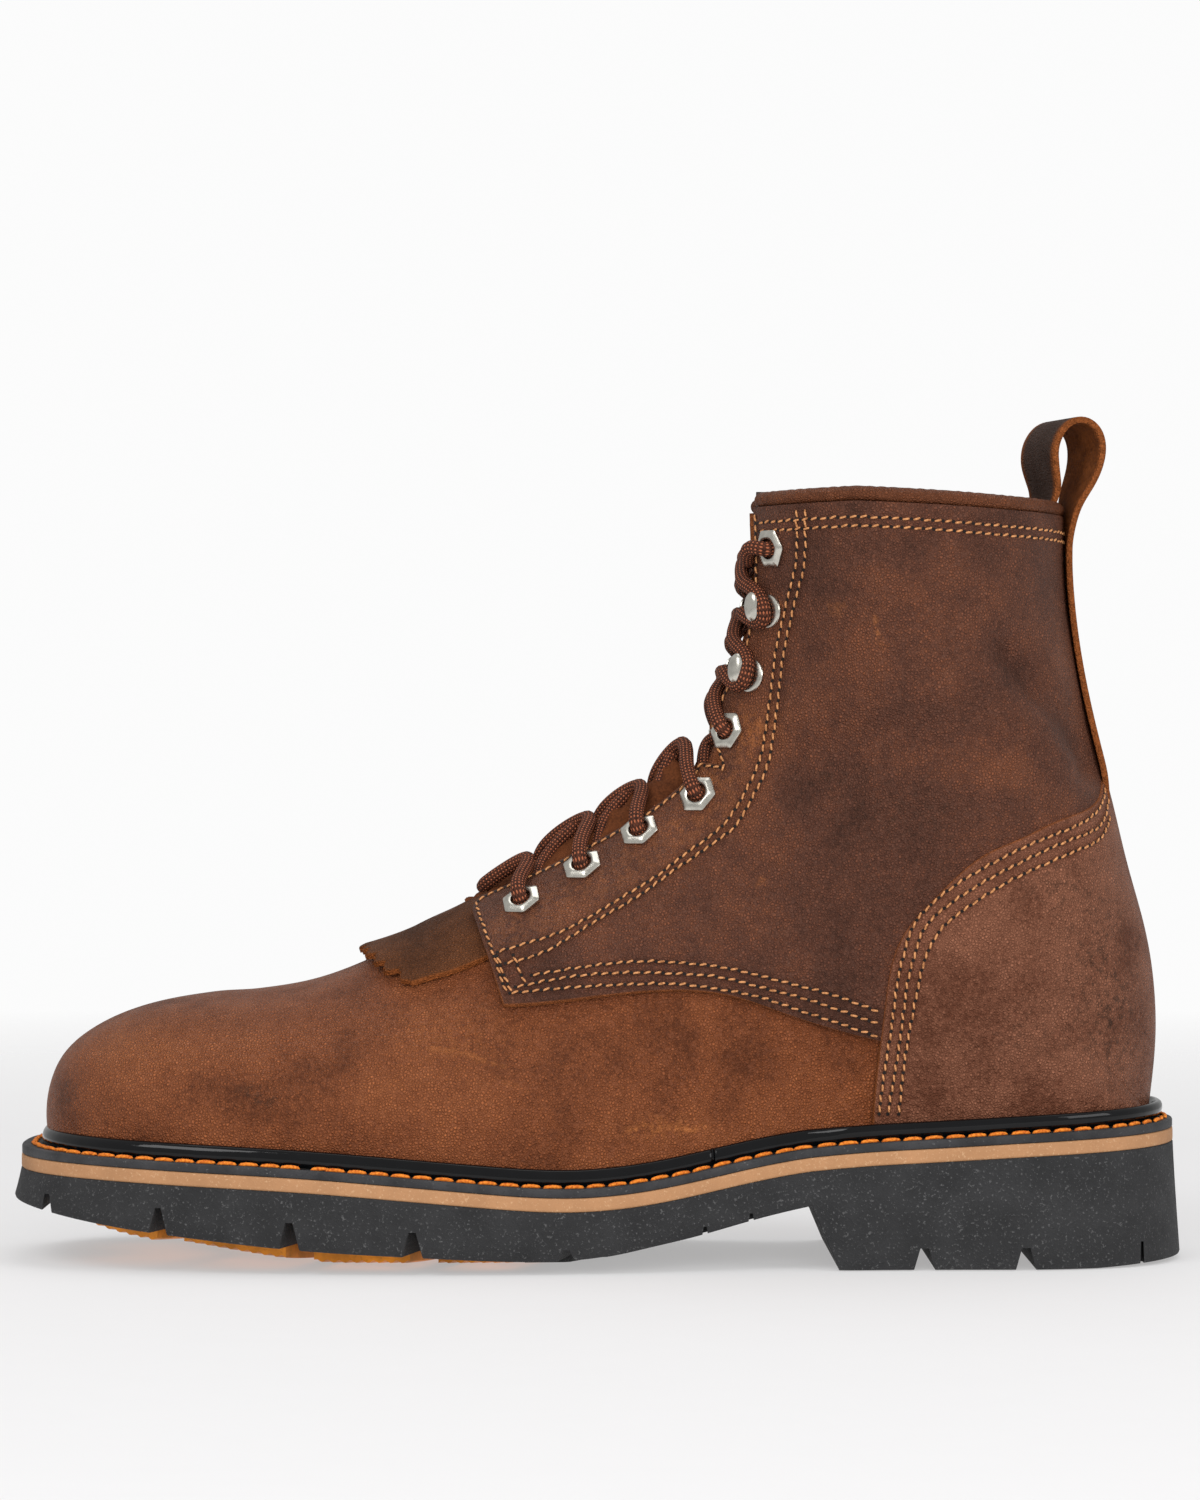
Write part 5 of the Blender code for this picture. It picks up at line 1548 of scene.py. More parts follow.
@dataclass
class Quarter:
    """One quarter with its eyestay, from the facing to the back seam."""

    pattern: Pattern
    side: Side
    cols: int = 92
    rows: int = 240
    sparse: int = 4
    sink: float = 0.22

    def build(self) -> None:
        """Build the cut sheet with its raw edges."""
        p, last, side = self.pattern, self.pattern.last, self.side.value
        t = np.unique(np.round(np.concatenate([
            THROAT + np.asarray(NEAR) / p.step, np.linspace(THROAT + 0.2, COLLAR, self.rows),
            np.linspace(p.notch_at - 0.56, p.notch_at + 0.56, 41)]), 4))
        length = last.half_length(t, side)
        top = p.facing_half(t)
        low = np.array([abs(p.quarter_q(float(v), side)) for v in t]) * length
        at = stops(low - top, self.cols, NEAR)
        over = top[:, None] + at
        q = side * over / length[:, None]
        grid = np.repeat(t[:, None], q.shape[1], 1)
        slant = np.abs(np.gradient(top, t * p.step))[:, None]
        rim = at / np.sqrt(1 + slant ** 2)
        free = (t <= p.quarter_line[0][-1])[:, None]
        rim = np.minimum(rim, np.where(free, (low - top)[:, None] - at, 9.0))
        flat = last.at(grid, q)
        front = np.concatenate([np.zeros((1, q.shape[1])),
                                np.cumsum(np.linalg.norm(np.diff(flat, axis=0), axis=2), axis=0)])
        rim = np.minimum(rim, front)
        # The seam mask sinks the leather at the stitching and paints shade there.
        border = np.exp(-((np.minimum(at, front) - p.seam_inset) / 0.9) ** 2)
        seam = np.maximum(sewn(flat, Seams.quarter_rows), border)
        lift = p.overlay_gap + p.corner_lift(grid, over) + p.quarter * rolled(rim) - self.sink * seam
        outer = last.at(grid, q, lift)
        thin = np.unique(np.append(np.arange(0, len(t), self.sparse), len(t) - 1))
        few = np.unique(np.append(np.arange(0, q.shape[1], self.sparse), q.shape[1] - 1))
        back = np.ix_(thin, few)
        under = p.overlay_gap - 0.05 + p.corner_lift(grid[back], over[back]) * 0.9
        inner = last.at(grid[back], q[back], under)
        part = Part()
        painted = dict(edge=smooth((0.5 - rim) / 0.4), seam=seam, **paint(outer))
        for points, slot, values in ((outer, 0, painted), (inner, 1, {})):
            faces = quads(*points.shape[:2])
            part.add(points, faces if (side < 0) == (slot == 0) else [f[::-1] for f in faces], slot, **values)
        name = self.side.name.lower()
        piece = part.object("quarter_%s_leather" % name, [SHAFT, SUEDE])
        fit(piece, Slot.SHAFT, "quarter_lateral" if side < 0 else "quarter_medial")


@dataclass
class Counter:
    """The heel counter, one piece around both sides of the heel."""

    pattern: Pattern
    rows: int = 190
    cols: int = 76
    sink: float = 0.25
    step: float = 21.0
    foot_lift: float = 0.1

    def build(self) -> None:
        """Build both sides and join them at the back."""
        p, last = self.pattern, self.pattern.last
        bend = np.linspace(0, 1, self.rows)
        bend = bend + 0.12 * np.sin(math.tau * bend) / math.pi
        t = p.counter_first + (p.counter_last - p.counter_first) * bend
        part = Part()
        for side in (-1, 1):
            length = last.half_length(t, side)
            top = np.array([abs(p.counter_q(float(v), side)) for v in t]) * length
            foot = np.where(t < HEEL_END - 0.02, length - p.counter_foot, length)
            at = stops(np.maximum(foot - top, 0.002), self.cols, NEAR)
            q = side * np.minimum((top[:, None] + at) / length[:, None], 1.0)
            grid = np.repeat(t[:, None], q.shape[1], 1)
            slope = np.abs(np.gradient(top, t * self.step))[:, None]
            rim = at / np.sqrt(1 + slope ** 2)
            # The seam mask sinks the leather at the stitching and paints shade there.
            seam = sewn(last.at(grid, q), Seams.counter_rows)
            rise = (p.counter - self.foot_lift) * rolled(rim)
            lift = p.overlay_gap + self.foot_lift + rise - self.sink * seam
            outer = last.at(grid, q, lift)
            faces = quads(*q.shape)
            part.add(outer, faces if side < 0 else [f[::-1] for f in faces], 0,
                     edge=smooth((0.6 - rim) / 0.5), seam=seam, **paint(outer))
        piece = part.object("counter_leather", [HEEL], weld=0.02)
        fit(piece, Slot.COUNTER, "counter")


@dataclass
class Tongue:
    """The tongue, a soft sheet behind the throat that just clears the collar."""

    pattern: Pattern
    thick: float = 2.0
    rows: int = 110
    cols: int = 40
    start: float = THROAT - 0.9
    depth: float = 2.9
    depth_inside: float = 2.8

    def build(self) -> None:
        """Build the padded sheet."""
        last = self.pattern.last
        t = np.linspace(self.start, COLLAR, self.rows)
        over = np.interp(t, [self.start, 14, COLLAR], [20.0, 23.0, 24.0])
        share = np.linspace(-1, 1, self.cols + 1)
        left = last.share_of(t, -1, over)[:, None]
        right = last.share_of(t, 1, over)[:, None]
        q = np.where(share[None, :] < 0, -share[None, :] * left, share[None, :] * right)
        grid = np.repeat(t[:, None], q.shape[1], 1)
        dome = np.cos(share * math.pi / 2)[None, :]
        puff = 0.5 * dome * (0.6 + 0.4 * np.sin(grid * 3.1 + share[None, :] * 1.3))
        outer = last.at(grid, q, puff - self.depth)
        inner = last.at(grid, q, np.full_like(q, -self.depth_inside - self.thick))
        climb = smooth((t - (COLLAR - 1.2)) / 1.2)[:, None] * (1.5 + 3.4 * dome)
        outer[..., 2] += climb
        inner[..., 2] += climb
        count = q.shape[1]
        ring = np.concatenate([outer, inner[:, ::-1]], 1)
        part = Part()
        part.add(ring, quads(len(t), 2 * count, ring=True), 0)
        part.close_sheet(len(t), count)
        piece = part.object("tongue_leather", [TONGUE_HIDE], outward=True)
        fit(piece, Slot.TONGUE, "tongue")


@dataclass
class Kiltie:
    """The fringed flap over the vamp, with a napped tail under the lace."""

    pattern: Pattern
    back: float = 13.8
    thick: float = 1.7
    cols: int = 168
    widest: float = 37.2
    end: float = THROAT + 0.28
    step: float = 15.5
    tail_rows: int = 90
    tail_cols: int = 45
    tail_step: float = 15.0
    tail_tuck: float = 1.8
    fringe: Rows = (
        (0, 7.70), (6.0, 7.72), (6.5, 7.82), (12.0, 7.75), (12.5, 7.86), (18.0, 7.80), (18.5, 7.94),
        (24.0, 7.90), (24.6, 8.06), (29.6, 8.02), (30.4, 8.28), (35.4, 8.28), (36.2, 8.42), (38.0, 8.50))

    def half(self, t: Array) -> Array:
        """Give the flap's half width over the surface."""
        return np.interp(t, [8.4, 9.2, THROAT + 0.3], [self.widest, 37.0, 34.0])

    def lift(self, t: Array, over: Array) -> Array:
        """Give how far the flap stands off the vamp; its free edge curls up."""
        loose = np.clip((8.7 - np.asarray(t)) / 0.9, 0, 1) ** 1.6 * (1 - 0.55 * smooth((over - 14) / 20))
        return 0.25 + 0.55 * smooth((10.2 - np.asarray(t)) / 1.4) + 1.7 * loose

    def front_edge(self, over: Array) -> Array:
        """Give the toothed front edge over the flap's width."""
        cut_at = np.interp(np.abs(over), *zip(*self.fringe))
        return cut_at + 0.012 * np.sin(over * 1.9) + 0.01 * np.sin(over * 3.7 + 1.0)

    def sheet(self, part: Part, t: Array, q: Array, lift: Array, rim: Array, faces_slot: int) -> None:
        """Add a closed sheet between a lift and the thickness above it.

        Args:
            part: the piece being made.
            t: sections of the grid.
            q: shares of the grid.
            lift: lift of the underside.
            rim: distance of each point from the cut edge.
            faces_slot: finish of the upper face.
        """
        last = self.pattern.last
        outer = last.at(t, q, lift + self.thick * rolled(rim))
        inner = last.at(t, q, lift)
        faces = quads(*t.shape)
        part.add(outer, [f[::-1] for f in faces], faces_slot, edge=smooth((0.5 - rim) / 0.4),
                 tone=0.05 * np.sin(outer[..., 0].ravel() * 0.3))
        part.add(inner, faces, 1, edge=smooth((0.5 - rim) / 0.4))

    def build(self) -> None:
        """Build the flap and its tail."""
        last = self.pattern.last
        share = np.linspace(-1, 1, self.cols + 1)
        squeeze = np.sign(share) * (1 - (1 - np.abs(share)) ** 1.35)
        start = self.front_edge(self.widest * squeeze)
        near = np.asarray(NEAR)[:, None] / self.step
        body = np.linspace(0, 1, 60)[1:, None]
        t = np.concatenate([start + near, start + near[-1] + (self.end - start - near[-1]) * body])
        over = self.half(t) * np.abs(squeeze)[None, :]
        q = last.across(t, share, over)
        rim = np.minimum((t - start) * self.step, self.half(t) - over)
        part = Part()
        self.sheet(part, t, q, self.lift(t, over), rim, 0)
        tail_t = np.linspace(THROAT - 0.1, self.back, self.tail_rows)
        wobble = 0.5 * np.sin(tail_t * 7.0) + 0.35 * np.sin(tail_t * 17.0)
        half = np.interp(tail_t, [THROAT, 12.0, 13.3, self.back], [11.4, 11.6, 11.4, 7.5]) + wobble
        cross = np.linspace(-1, 1, self.tail_cols)
        tail_over = half[:, None] * np.abs(cross)[None, :]
        grid = np.repeat(tail_t[:, None], self.tail_cols, 1)
        tail_q = last.across(grid, cross, tail_over)
        tail_rim = np.minimum(half[:, None] - tail_over, (self.back - grid) * self.tail_step)
        rough = 0.5 * np.sin(grid * 9 + cross * 5) + 0.4 * np.sin(grid * 21 - cross * 8)
        stand = np.interp(grid, [THROAT, 11, 12, 12.8, 13.4, self.back], [0.2, 0.2, 0.7, 2.2, 2.6, 2.0])
        bow = 1 - (tail_over / half[:, None]) ** 2
        tail_lift = (stand + rough + self.tail_tuck) * bow - self.tail_tuck
        self.sheet(part, grid, tail_q, tail_lift, tail_rim, 2)
        piece = part.object("kiltie_leather", [FLAP, SUEDE, TAIL_SUEDE])
        fit(piece, Slot.KILTIE, "kiltie")


@dataclass
class Piping:
    """The rolled piping along the collar, open at the throat."""

    pattern: Pattern
    radius: float = 2.05
    height: float = 200.75
    sides: int = 18
    steps: int = 120
    end_round: float = 1.8
    squash: float = 1.12

    def build(self) -> None:
        """Build the roll with rounded ends and slight puckers."""
        p, last = self.pattern, self.pattern.last
        half = float(p.facing_half(COLLAR)) + 0.4
        left, right = float(last.share_of(COLLAR, -1, half)), float(last.share_of(COLLAR, 1, half))
        q = np.concatenate([np.linspace(left, -1, self.steps), np.linspace(1, right, self.steps)[1:]])
        points = last.at(np.full_like(q, COLLAR), q, np.full_like(q, 0.05))
        points[:, 2] = self.height + last.arch(points[:, 0])
        run = unit(np.gradient(points, axis=0))
        up = np.array([0.0, 0.0, 1.0])
        out = unit(np.cross(run, up))
        arc = arc_of(points)
        ends = np.minimum(arc, arc[-1] - arc)
        size = self.radius * np.sqrt(np.clip(1 - (1 - np.clip(ends / self.end_round, 0, 1)) ** 2, 0.02, 1))
        size = size * (1 + 0.03 * np.sin(arc * 1.9) + 0.02 * np.sin(arc * 4.3))
        turn = around(self.sides)
        size = size[:, None, None]
        ring = (points[:, None] + out[:, None] * (np.cos(turn) * self.squash)[None, :, None] * size
                + up * np.sin(turn)[None, :, None] * size)
        part = Part()
        part.add(ring, quads(len(points), self.sides, ring=True), 0)
        part.close_ends(len(points), self.sides)
        piece = part.object("collar_piping_leather", [TRIM], outward=True)
        fit(piece, Slot.SHAFT, "collar_piping")


@dataclass
class PullStrap:
    """The pull loop at the collar, which runs down the back as a strip."""

    pattern: Pattern
    width: float = 22.0
    thick: float = 1.7
    skew: float = 0.31
    steps: int = 190
    loop: tuple[tuple[float, float, float], ...] = (
        (118.4, 176, 0.0), (118.4, 190, 0.1), (118.9, 197, 0.4), (119.5, 203, 0.7), (117.9, 212, 1.0),
        (118.7, 218, 1.0), (121.6, 221.8, 1.0), (125.2, 222.8, 1.0), (128.6, 220.8, 1.0), (130.3, 216.6, 1.0),
        (129.9, 211, 0.95), (128.0, 205.5, 0.8), (126.1, 200.6, 0.5), (125.1, 195.5, 0.25), (125.1, 189, 0.0))

    def build(self) -> None:
        """Build the band with a napped inside and raw edges."""
        ride = self.pattern.quarter_top + 0.03 + self.thick / 2
        back = self.pattern.last.back_of
        low = [(float(back(z)) + ride - 1.6 * float(smooth((130 - z) / 8)), float(z), 0.0)
               for z in np.linspace(178, 121.5, 10)]
        middle = round_path(np.array([*self.loop, *low])[:, [0, 2, 1]], self.steps)
        place = np.stack([middle[:, 0], np.zeros(self.steps), middle[:, 2]], 1)
        lean = np.clip(middle[:, 1], 0, 1)
        run = unit(np.gradient(place, axis=0))
        out = np.stack([-run[:, 2], np.zeros(self.steps), run[:, 0]], 1)
        order = np.arange(self.steps)
        rear = order > self.steps // 3
        hug = np.where(rear, smooth((196 - place[:, 2]) / 14), smooth((206 - place[:, 2]) / 10))
        bend = np.where(rear, 200.0, 68.0)
        half = self.width / 2
        profile = [(-half, -0.7), (-half, 0.7), (-half + 0.25, 0.95)]
        profile += [(a, 1.0) for a in np.linspace(-half + 0.8, half - 0.8, 13)]
        profile += [(half - 0.25, 0.95), (half, 0.7), (half, -0.7), (half - 0.25, -0.95)]
        profile += [(a, -1.0) for a in np.linspace(half - 0.8, -half + 0.8, 13)] + [(-half + 0.25, -0.95)]
        rows = []
        for a, b in profile:
            shift = -(a * a) / bend * hug - a * self.skew * lean
            rows.append(place + out * (b * self.thick / 2) + np.stack(
                [shift, np.full(self.steps, a), np.zeros(self.steps)], 1))
        ring = np.stack(rows, 1)
        rim = np.array([np.clip((abs(a) - half + 2.6) / 2.0, 0, 1) for a, _ in profile])
        count = len(profile)
        part = Part()
        faces = quads(self.steps, count, ring=True)
        part.add(ring, faces, 0, edge=np.tile(rim, self.steps))
        part.slots = [1 if 18 < f[0] % count < count - 2 else 0 for f in faces]
        part.close_ends(self.steps, count)
        piece = part.object("pull_strap_leather", [STRAP, SUEDE], outward=True)
        fit(piece, Slot.SHAFT, "pull_strap")


# Seams, hardware and lace.


@dataclass
class Stitching:
    """Rows of stitches with dark discs of painted shade at their needle holes, joined into one piece."""

    name: str
    thread: Finish
    pitch: float = 2.75
    length: float = 1.95
    radius: float = 0.31
    slant: float = 0.26
    part: Part = field(default_factory=Part)
    rings: tuple[tuple[float, float, float], ...] = (
        (-1.0, 0.3, -0.35), (-0.78, 0.85, 0.18), (-0.3, 1.0, 0.42), (0.3, 1.0, 0.42), (0.78, 0.85, 0.18),
        (1.0, 0.3, -0.35))
    sides: int = 7
    squash: float = 0.85
    hole_sides: int = 6
    hole_size: float = 1.55
    hole_lift: float = 0.06

    def row(self, points: Array, normals: Array) -> None:
        """Sew one row along a line.

        Args:
            points: points of the line on the leather.
            normals: outward normals there.
        """
        index = along_path(points, self.pitch)
        place = take(points, (index[:-1] + index[1:]) / 2)
        out = unit(take(normals, (index[:-1] + index[1:]) / 2))
        holes = take(points, index)
        run = unit(np.diff(holes, axis=0))
        out = unit(out - run * np.sum(run * out, 1)[:, None])
        cross = np.cross(out, run)
        sway = np.sin(np.arange(len(run)) * 2.39 + self.part.count)[:, None]
        place = place + cross * sway * 0.35 * self.radius
        run = unit(run + cross * self.slant * (1 + 0.4 * sway))
        cross = np.cross(out, run)
        turn = around(self.sides)
        body = []
        for along, fat, lift in self.rings:
            middle = place + run * (along * self.length / 2) + out * (lift * self.radius)
            for v in turn:
                spoke = cross * math.cos(v) + out * math.sin(v) * self.squash
                body.append(middle + spoke * (fat * self.radius))
        body = np.stack(body, 1)
        size = len(self.rings) * len(turn)
        faces = []
        plain = quads(len(self.rings), len(turn), ring=True)
        plain += [tuple(range(len(turn)))[::-1], tuple(range(size - len(turn), size))]
        for i in range(len(place)):
            faces += [tuple(v + i * size for v in f) for f in plain]
        self.part.add(body, faces, 0)
        # Dark discs at the needle holes: painted shade in the holes.
        spokes = [run * math.cos(v) + cross * math.sin(v) for v in around(self.hole_sides)]
        disc = np.stack([holes[:-1] + spoke * self.radius * self.hole_size + out * self.hole_lift
                         for spoke in spokes], 1)
        self.part.add(disc, np.arange(disc.shape[0] * disc.shape[1]).reshape(disc.shape[:2]).tolist(), 1)

    def build(self, slot: Slot) -> None:
        """Join the rows into one piece."""
        fit(self.part.object(self.name, [self.thread, NEEDLE_HOLE_SHADE]), slot)


@dataclass
class Seams:
    """All the seams of the leather, sewn on both sides."""

    pattern: Pattern
    quarter_rows: tuple[Rows, ...] = (
        ((-17.7, 75.3), (-5.0, 77.4), (10.2, 79.2), (20.9, 78.9), (30.8, 77.9), (41.5, 75.8), (52.2, 73.2),
         (62.1, 70.6), (72.9, 66.7)),
        ((-21.9, 72.3), (-4.9, 75.4), (11.7, 76.4), (20.8, 76.1), (30.8, 75.3), (41.5, 72.9), (52.2, 70.3),
         (62.1, 67.2), (72.8, 63.6)),
        ((-23.4, 70.8), (-4.9, 72.6), (11.7, 73.6), (20.8, 73.5), (30.8, 72.2), (41.5, 70.3), (52.1, 66.9),
         (62.1, 63.8), (72.8, 60.1)),
        ((-26.2, 79.8), (-15.7, 83.7), (-10.5, 85.8), (-0.5, 91.2), (7.1, 95.9), (15.8, 101.4), (21.8, 106.1),
         (28.4, 110.8), (33.7, 115.3), (38.2, 121.8), (41.3, 128.4), (43.5, 135.0), (46.1, 145.5),
         (47.2, 153.4), (47.9, 161.3), (49.5, 169.2), (51.2, 177.0), (52.4, 182.2), (52.9, 190.0),
         (52.7, 197.8)),
        ((-24.3, 77.6), (-14.9, 80.7), (-8.1, 84.5), (1.0, 90.2), (11.0, 96.2), (19.4, 102.4), (25.0, 106.1),
         (30.5, 110.0), (36.0, 114.2), (40.2, 120.8), (43.4, 127.6), (45.5, 134.5), (48.2, 145.3),
         (49.2, 153.2), (50.0, 161.0), (51.5, 168.9), (53.2, 176.7), (54.5, 181.9), (54.9, 189.7),
         (54.8, 197.8)),
        ((-26.4, 79.0), (-24.6, 74.5), (-22.9, 70.9)),
        ((-22.2, 79.6), (-20.6, 76.0), (-19.4, 73.0)),
    )
    counter_rows: tuple[Rows, ...] = (
        ((72.6, 40.0), (74.4, 52.8), (75.9, 62.2), (77.7, 75.1), (79.2, 81.3), (81.6, 88.7), (84.7, 93.0),
         (89.6, 97.6), (95.8, 102.0), (104.2, 106.9), (112.4, 110.8), (121.2, 114.0), (126.6, 116.6),
         (129.8, 119.8), (131.4, 124.0)),
        ((74.9, 40.0), (77.2, 52.8), (78.7, 63.0), (80.5, 75.9), (82.1, 81.6), (83.9, 87.2), (87.4, 91.8),
         (93.4, 96.6), (102.0, 102.1), (112.0, 107.2), (121.1, 111.0), (128.6, 113.9), (131.0, 117.0),
         (132.2, 121.4)),
        ((77.8, 40.0), (79.3, 52.8), (80.8, 62.2), (82.9, 73.0), (84.4, 79.6), (86.9, 85.4), (90.4, 90.0),
         (96.6, 94.8), (106.0, 100.8), (116.9, 105.8), (123.9, 108.6), (128.6, 110.6), (131.2, 113.6),
         (132.4, 117.0)),
    )

    def mirrored(self, rows: Sequence[Line], face: Callable[[Array, Array], Array],
                 work: Stitching) -> None:
        """Sew side-view rows on the outer side and again on the inner side.

        Args:
            rows: side-view rows.
            face: gives the leather's points for t and q.
            work: the stitching that takes the rows.
        """
        for row in rows:
            t, q = self.pattern.last.trace(row)
            for side in (1.0, -1.0):
                work.row(face(t, q * side), self.pattern.last.normal(t, q * side))

    def build(self) -> None:
        """Sew the quarters, the facings, the collar and the counter."""
        p, last = self.pattern, self.pattern.last
        quarter = Stitching("quarter_stitching", THREAD)
        self.mirrored(self.quarter_rows, p.on_quarter, quarter)
        for side in (-1, 1):
            start = THROAT + p.seam_inset / p.step
            t = start + (COLLAR - 0.15 - start) * np.linspace(0, 1, 900) ** 1.5
            q = last.share_of(t, side, p.facing_half(t, p.seam_inset))
            quarter.row(p.on_quarter(t, q), last.normal(t, q))
            q = np.linspace(float(q[0]), side * 0.47, 60)
            t = np.full(60, start)
            quarter.row(p.on_quarter(t, q), last.normal(t, q))
            for below in (4.2, 6.5):
                q = np.linspace(float(last.share_of(COLLAR, side, 18.2)), side * 0.985, 180)
                t = np.full(180, COLLAR) - below / np.array([p.rate(COLLAR - 0.2, float(v)) for v in q])
                quarter.row(p.on_quarter(t, q), last.normal(t, q))
        counter = Stitching("counter_stitching", THREAD)
        self.mirrored(self.counter_rows, lambda t, q: last.at(t, q, np.full_like(t, p.counter_top)), counter)
        quarter.build(Slot.SHAFT)
        counter.build(Slot.COUNTER)


@dataclass
class Hardware:
    """Six-sided eyelets and round lace hooks."""

    pattern: Pattern
    across: float = 10.2
    hole: float = 2.45
    lip: float = 3.2
    reach: float = 4.4
    corner_cut: float = 0.885
    corner_size: float = 0.95
    hook_sides: int = 40
    hook_base: Rows = ((4.4, -0.2), (4.5, 0.2), (4.35, 0.6), (3.6, 0.95), (2.0, 1.05), (0.02, 1.1))
    neck_path: Rows = ((2.2, 0.7), (2.8, 1.2), (3.1, 2.2), (3.1, 3.2), (2.8, 4.0), (2.2, 4.5))
    neck_shape: Rows = ((-1.9, -0.35), (-1.9, 0.35), (0.0, 0.5), (1.9, 0.35), (1.9, -0.35), (0.0, -0.5))

    def frame(self, number: int, side: int) -> Frame:
        """Give the place of one piece, its down, its side and its normal.

        Args:
            number: row of the eyelet or hook.
            side: -1 for the outer side, 1 for the inner side.

        Returns:
            The place and the three directions.
        """
        t, q = self.pattern.hardware(number, side)
        place = self.pattern.on_quarter(t, q, 0.15)
        out = self.pattern.last.normal(t, q)
        down = np.array([0.0, 0.0, -1.0])
        first = unit(down - out * float(out @ down))
        return place, first, np.cross(out, first), out

    def lathe(self, part: Part, frame: Frame, profile: Sequence[tuple[float, ...]], sides: int = 60) -> None:
        """Turn a profile of (radius, height) or (radius, height, share of the six-sided shape).

        Args:
            part: the piece being made.
            frame: place and directions.
            profile: rows from the outer edge inward.
            sides: steps around.
        """
        place, first, second, out = frame
        turn = around(sides)
        spoke = first[None] * np.cos(turn)[:, None] + second[None] * np.sin(turn)[:, None]
        flat = np.cos((turn + math.pi / 6) % (math.pi / 3) - math.pi / 6)
        rings = []
        for radius, height, *rest in profile:
            six = rest[0] if rest else 0.0
            reach = radius * ((1 - six) + six * self.corner_size / np.maximum(flat, self.corner_cut))
            rings.append(place + spoke * reach[:, None] + out * height)
        part.add(np.concatenate(rings), quads(len(rings), sides, ring=True), 0)

    def eyelet(self, part: Part, number: int, side: int) -> None:
        """Add one bevelled eyelet with its barrel.

        Args:
            part: the piece being made.
            number: row of the eyelet or hook.
            side: -1 for the outer side, 1 for the inner side.
        """
        half = self.across / 2
        self.lathe(part, self.frame(number, side), (
            (half - 0.1, -0.25, 1.0), (half, 0.1, 1.0), (half, 0.42, 1.0), (half - 0.12, 0.55, 1.0),
            (half - 1.3, 1.15, 1.0), (half - 1.5, 1.2, 0.7), (self.hole + 0.75, 1.22, 0.2),
            (self.hole + 0.3, 1.08), (self.hole, 0.7), (self.hole - 0.05, -2.4)))

    def hook(self, part: Part, number: int, side: int) -> None:
        """Add one hook: base, neck on the throat side and domed lip.

        Args:
            part: the piece being made.
            number: row of the eyelet or hook.
            side: -1 for the outer side, 1 for the inner side.
        """
        frame = self.frame(number, side)
        place, first, second, out = frame
        t, q = self.pattern.hardware(number, side)
        toward = unit(self.pattern.last.at(t, q * 0.9) - self.pattern.last.at(t, q))
        toward = unit(toward - out * float(out @ toward))
        up = np.cross(out, toward)
        self.lathe(part, frame, self.hook_base, self.hook_sides)
        cap = (place + toward * 2.4, first * 1.2, second * 0.8, out)
        lip, reach = self.lip, self.reach
        dome = ((0.02, reach - 0.25), (2.3, reach - 0.2), (lip - 0.15, reach - 0.3), (lip, reach),
                (lip - 0.25, reach + 0.35), (2.3, reach + 0.75), (1.5, reach + 0.95), (0.02, reach + 1.0))
        self.lathe(part, cap, dome, self.hook_sides)
        ring = []
        for a, h in self.neck_path:
            centre = place + toward * a + out * h
            ring.append([centre + up * u + toward * w for u, w in self.neck_shape])
        part.add(np.array(ring), quads(len(self.neck_path), len(self.neck_shape), ring=True), 0)

    def build(self) -> None:
        """Build every eyelet and hook."""
        part = Part()
        nodes = []
        holes = [n for n in range(len(self.pattern.eyelets)) if n not in self.pattern.hook_rows]
        for side, word in ((-1, "lateral"), (1, "medial")):
            for place, number in enumerate(holes, 1):
                self.eyelet(part, number, side)
                nodes.append("eyelet_%s_%d" % (word, place))
            for place, number in enumerate(self.pattern.hook_rows, 1):
                self.hook(part, number, side)
                nodes.append("hook_%s_%d" % (word, place))
        piece = part.object("eyelets_and_hooks", [NICKEL], crisp=24.0)
        fit(piece, Slot.NICKEL, *nodes)


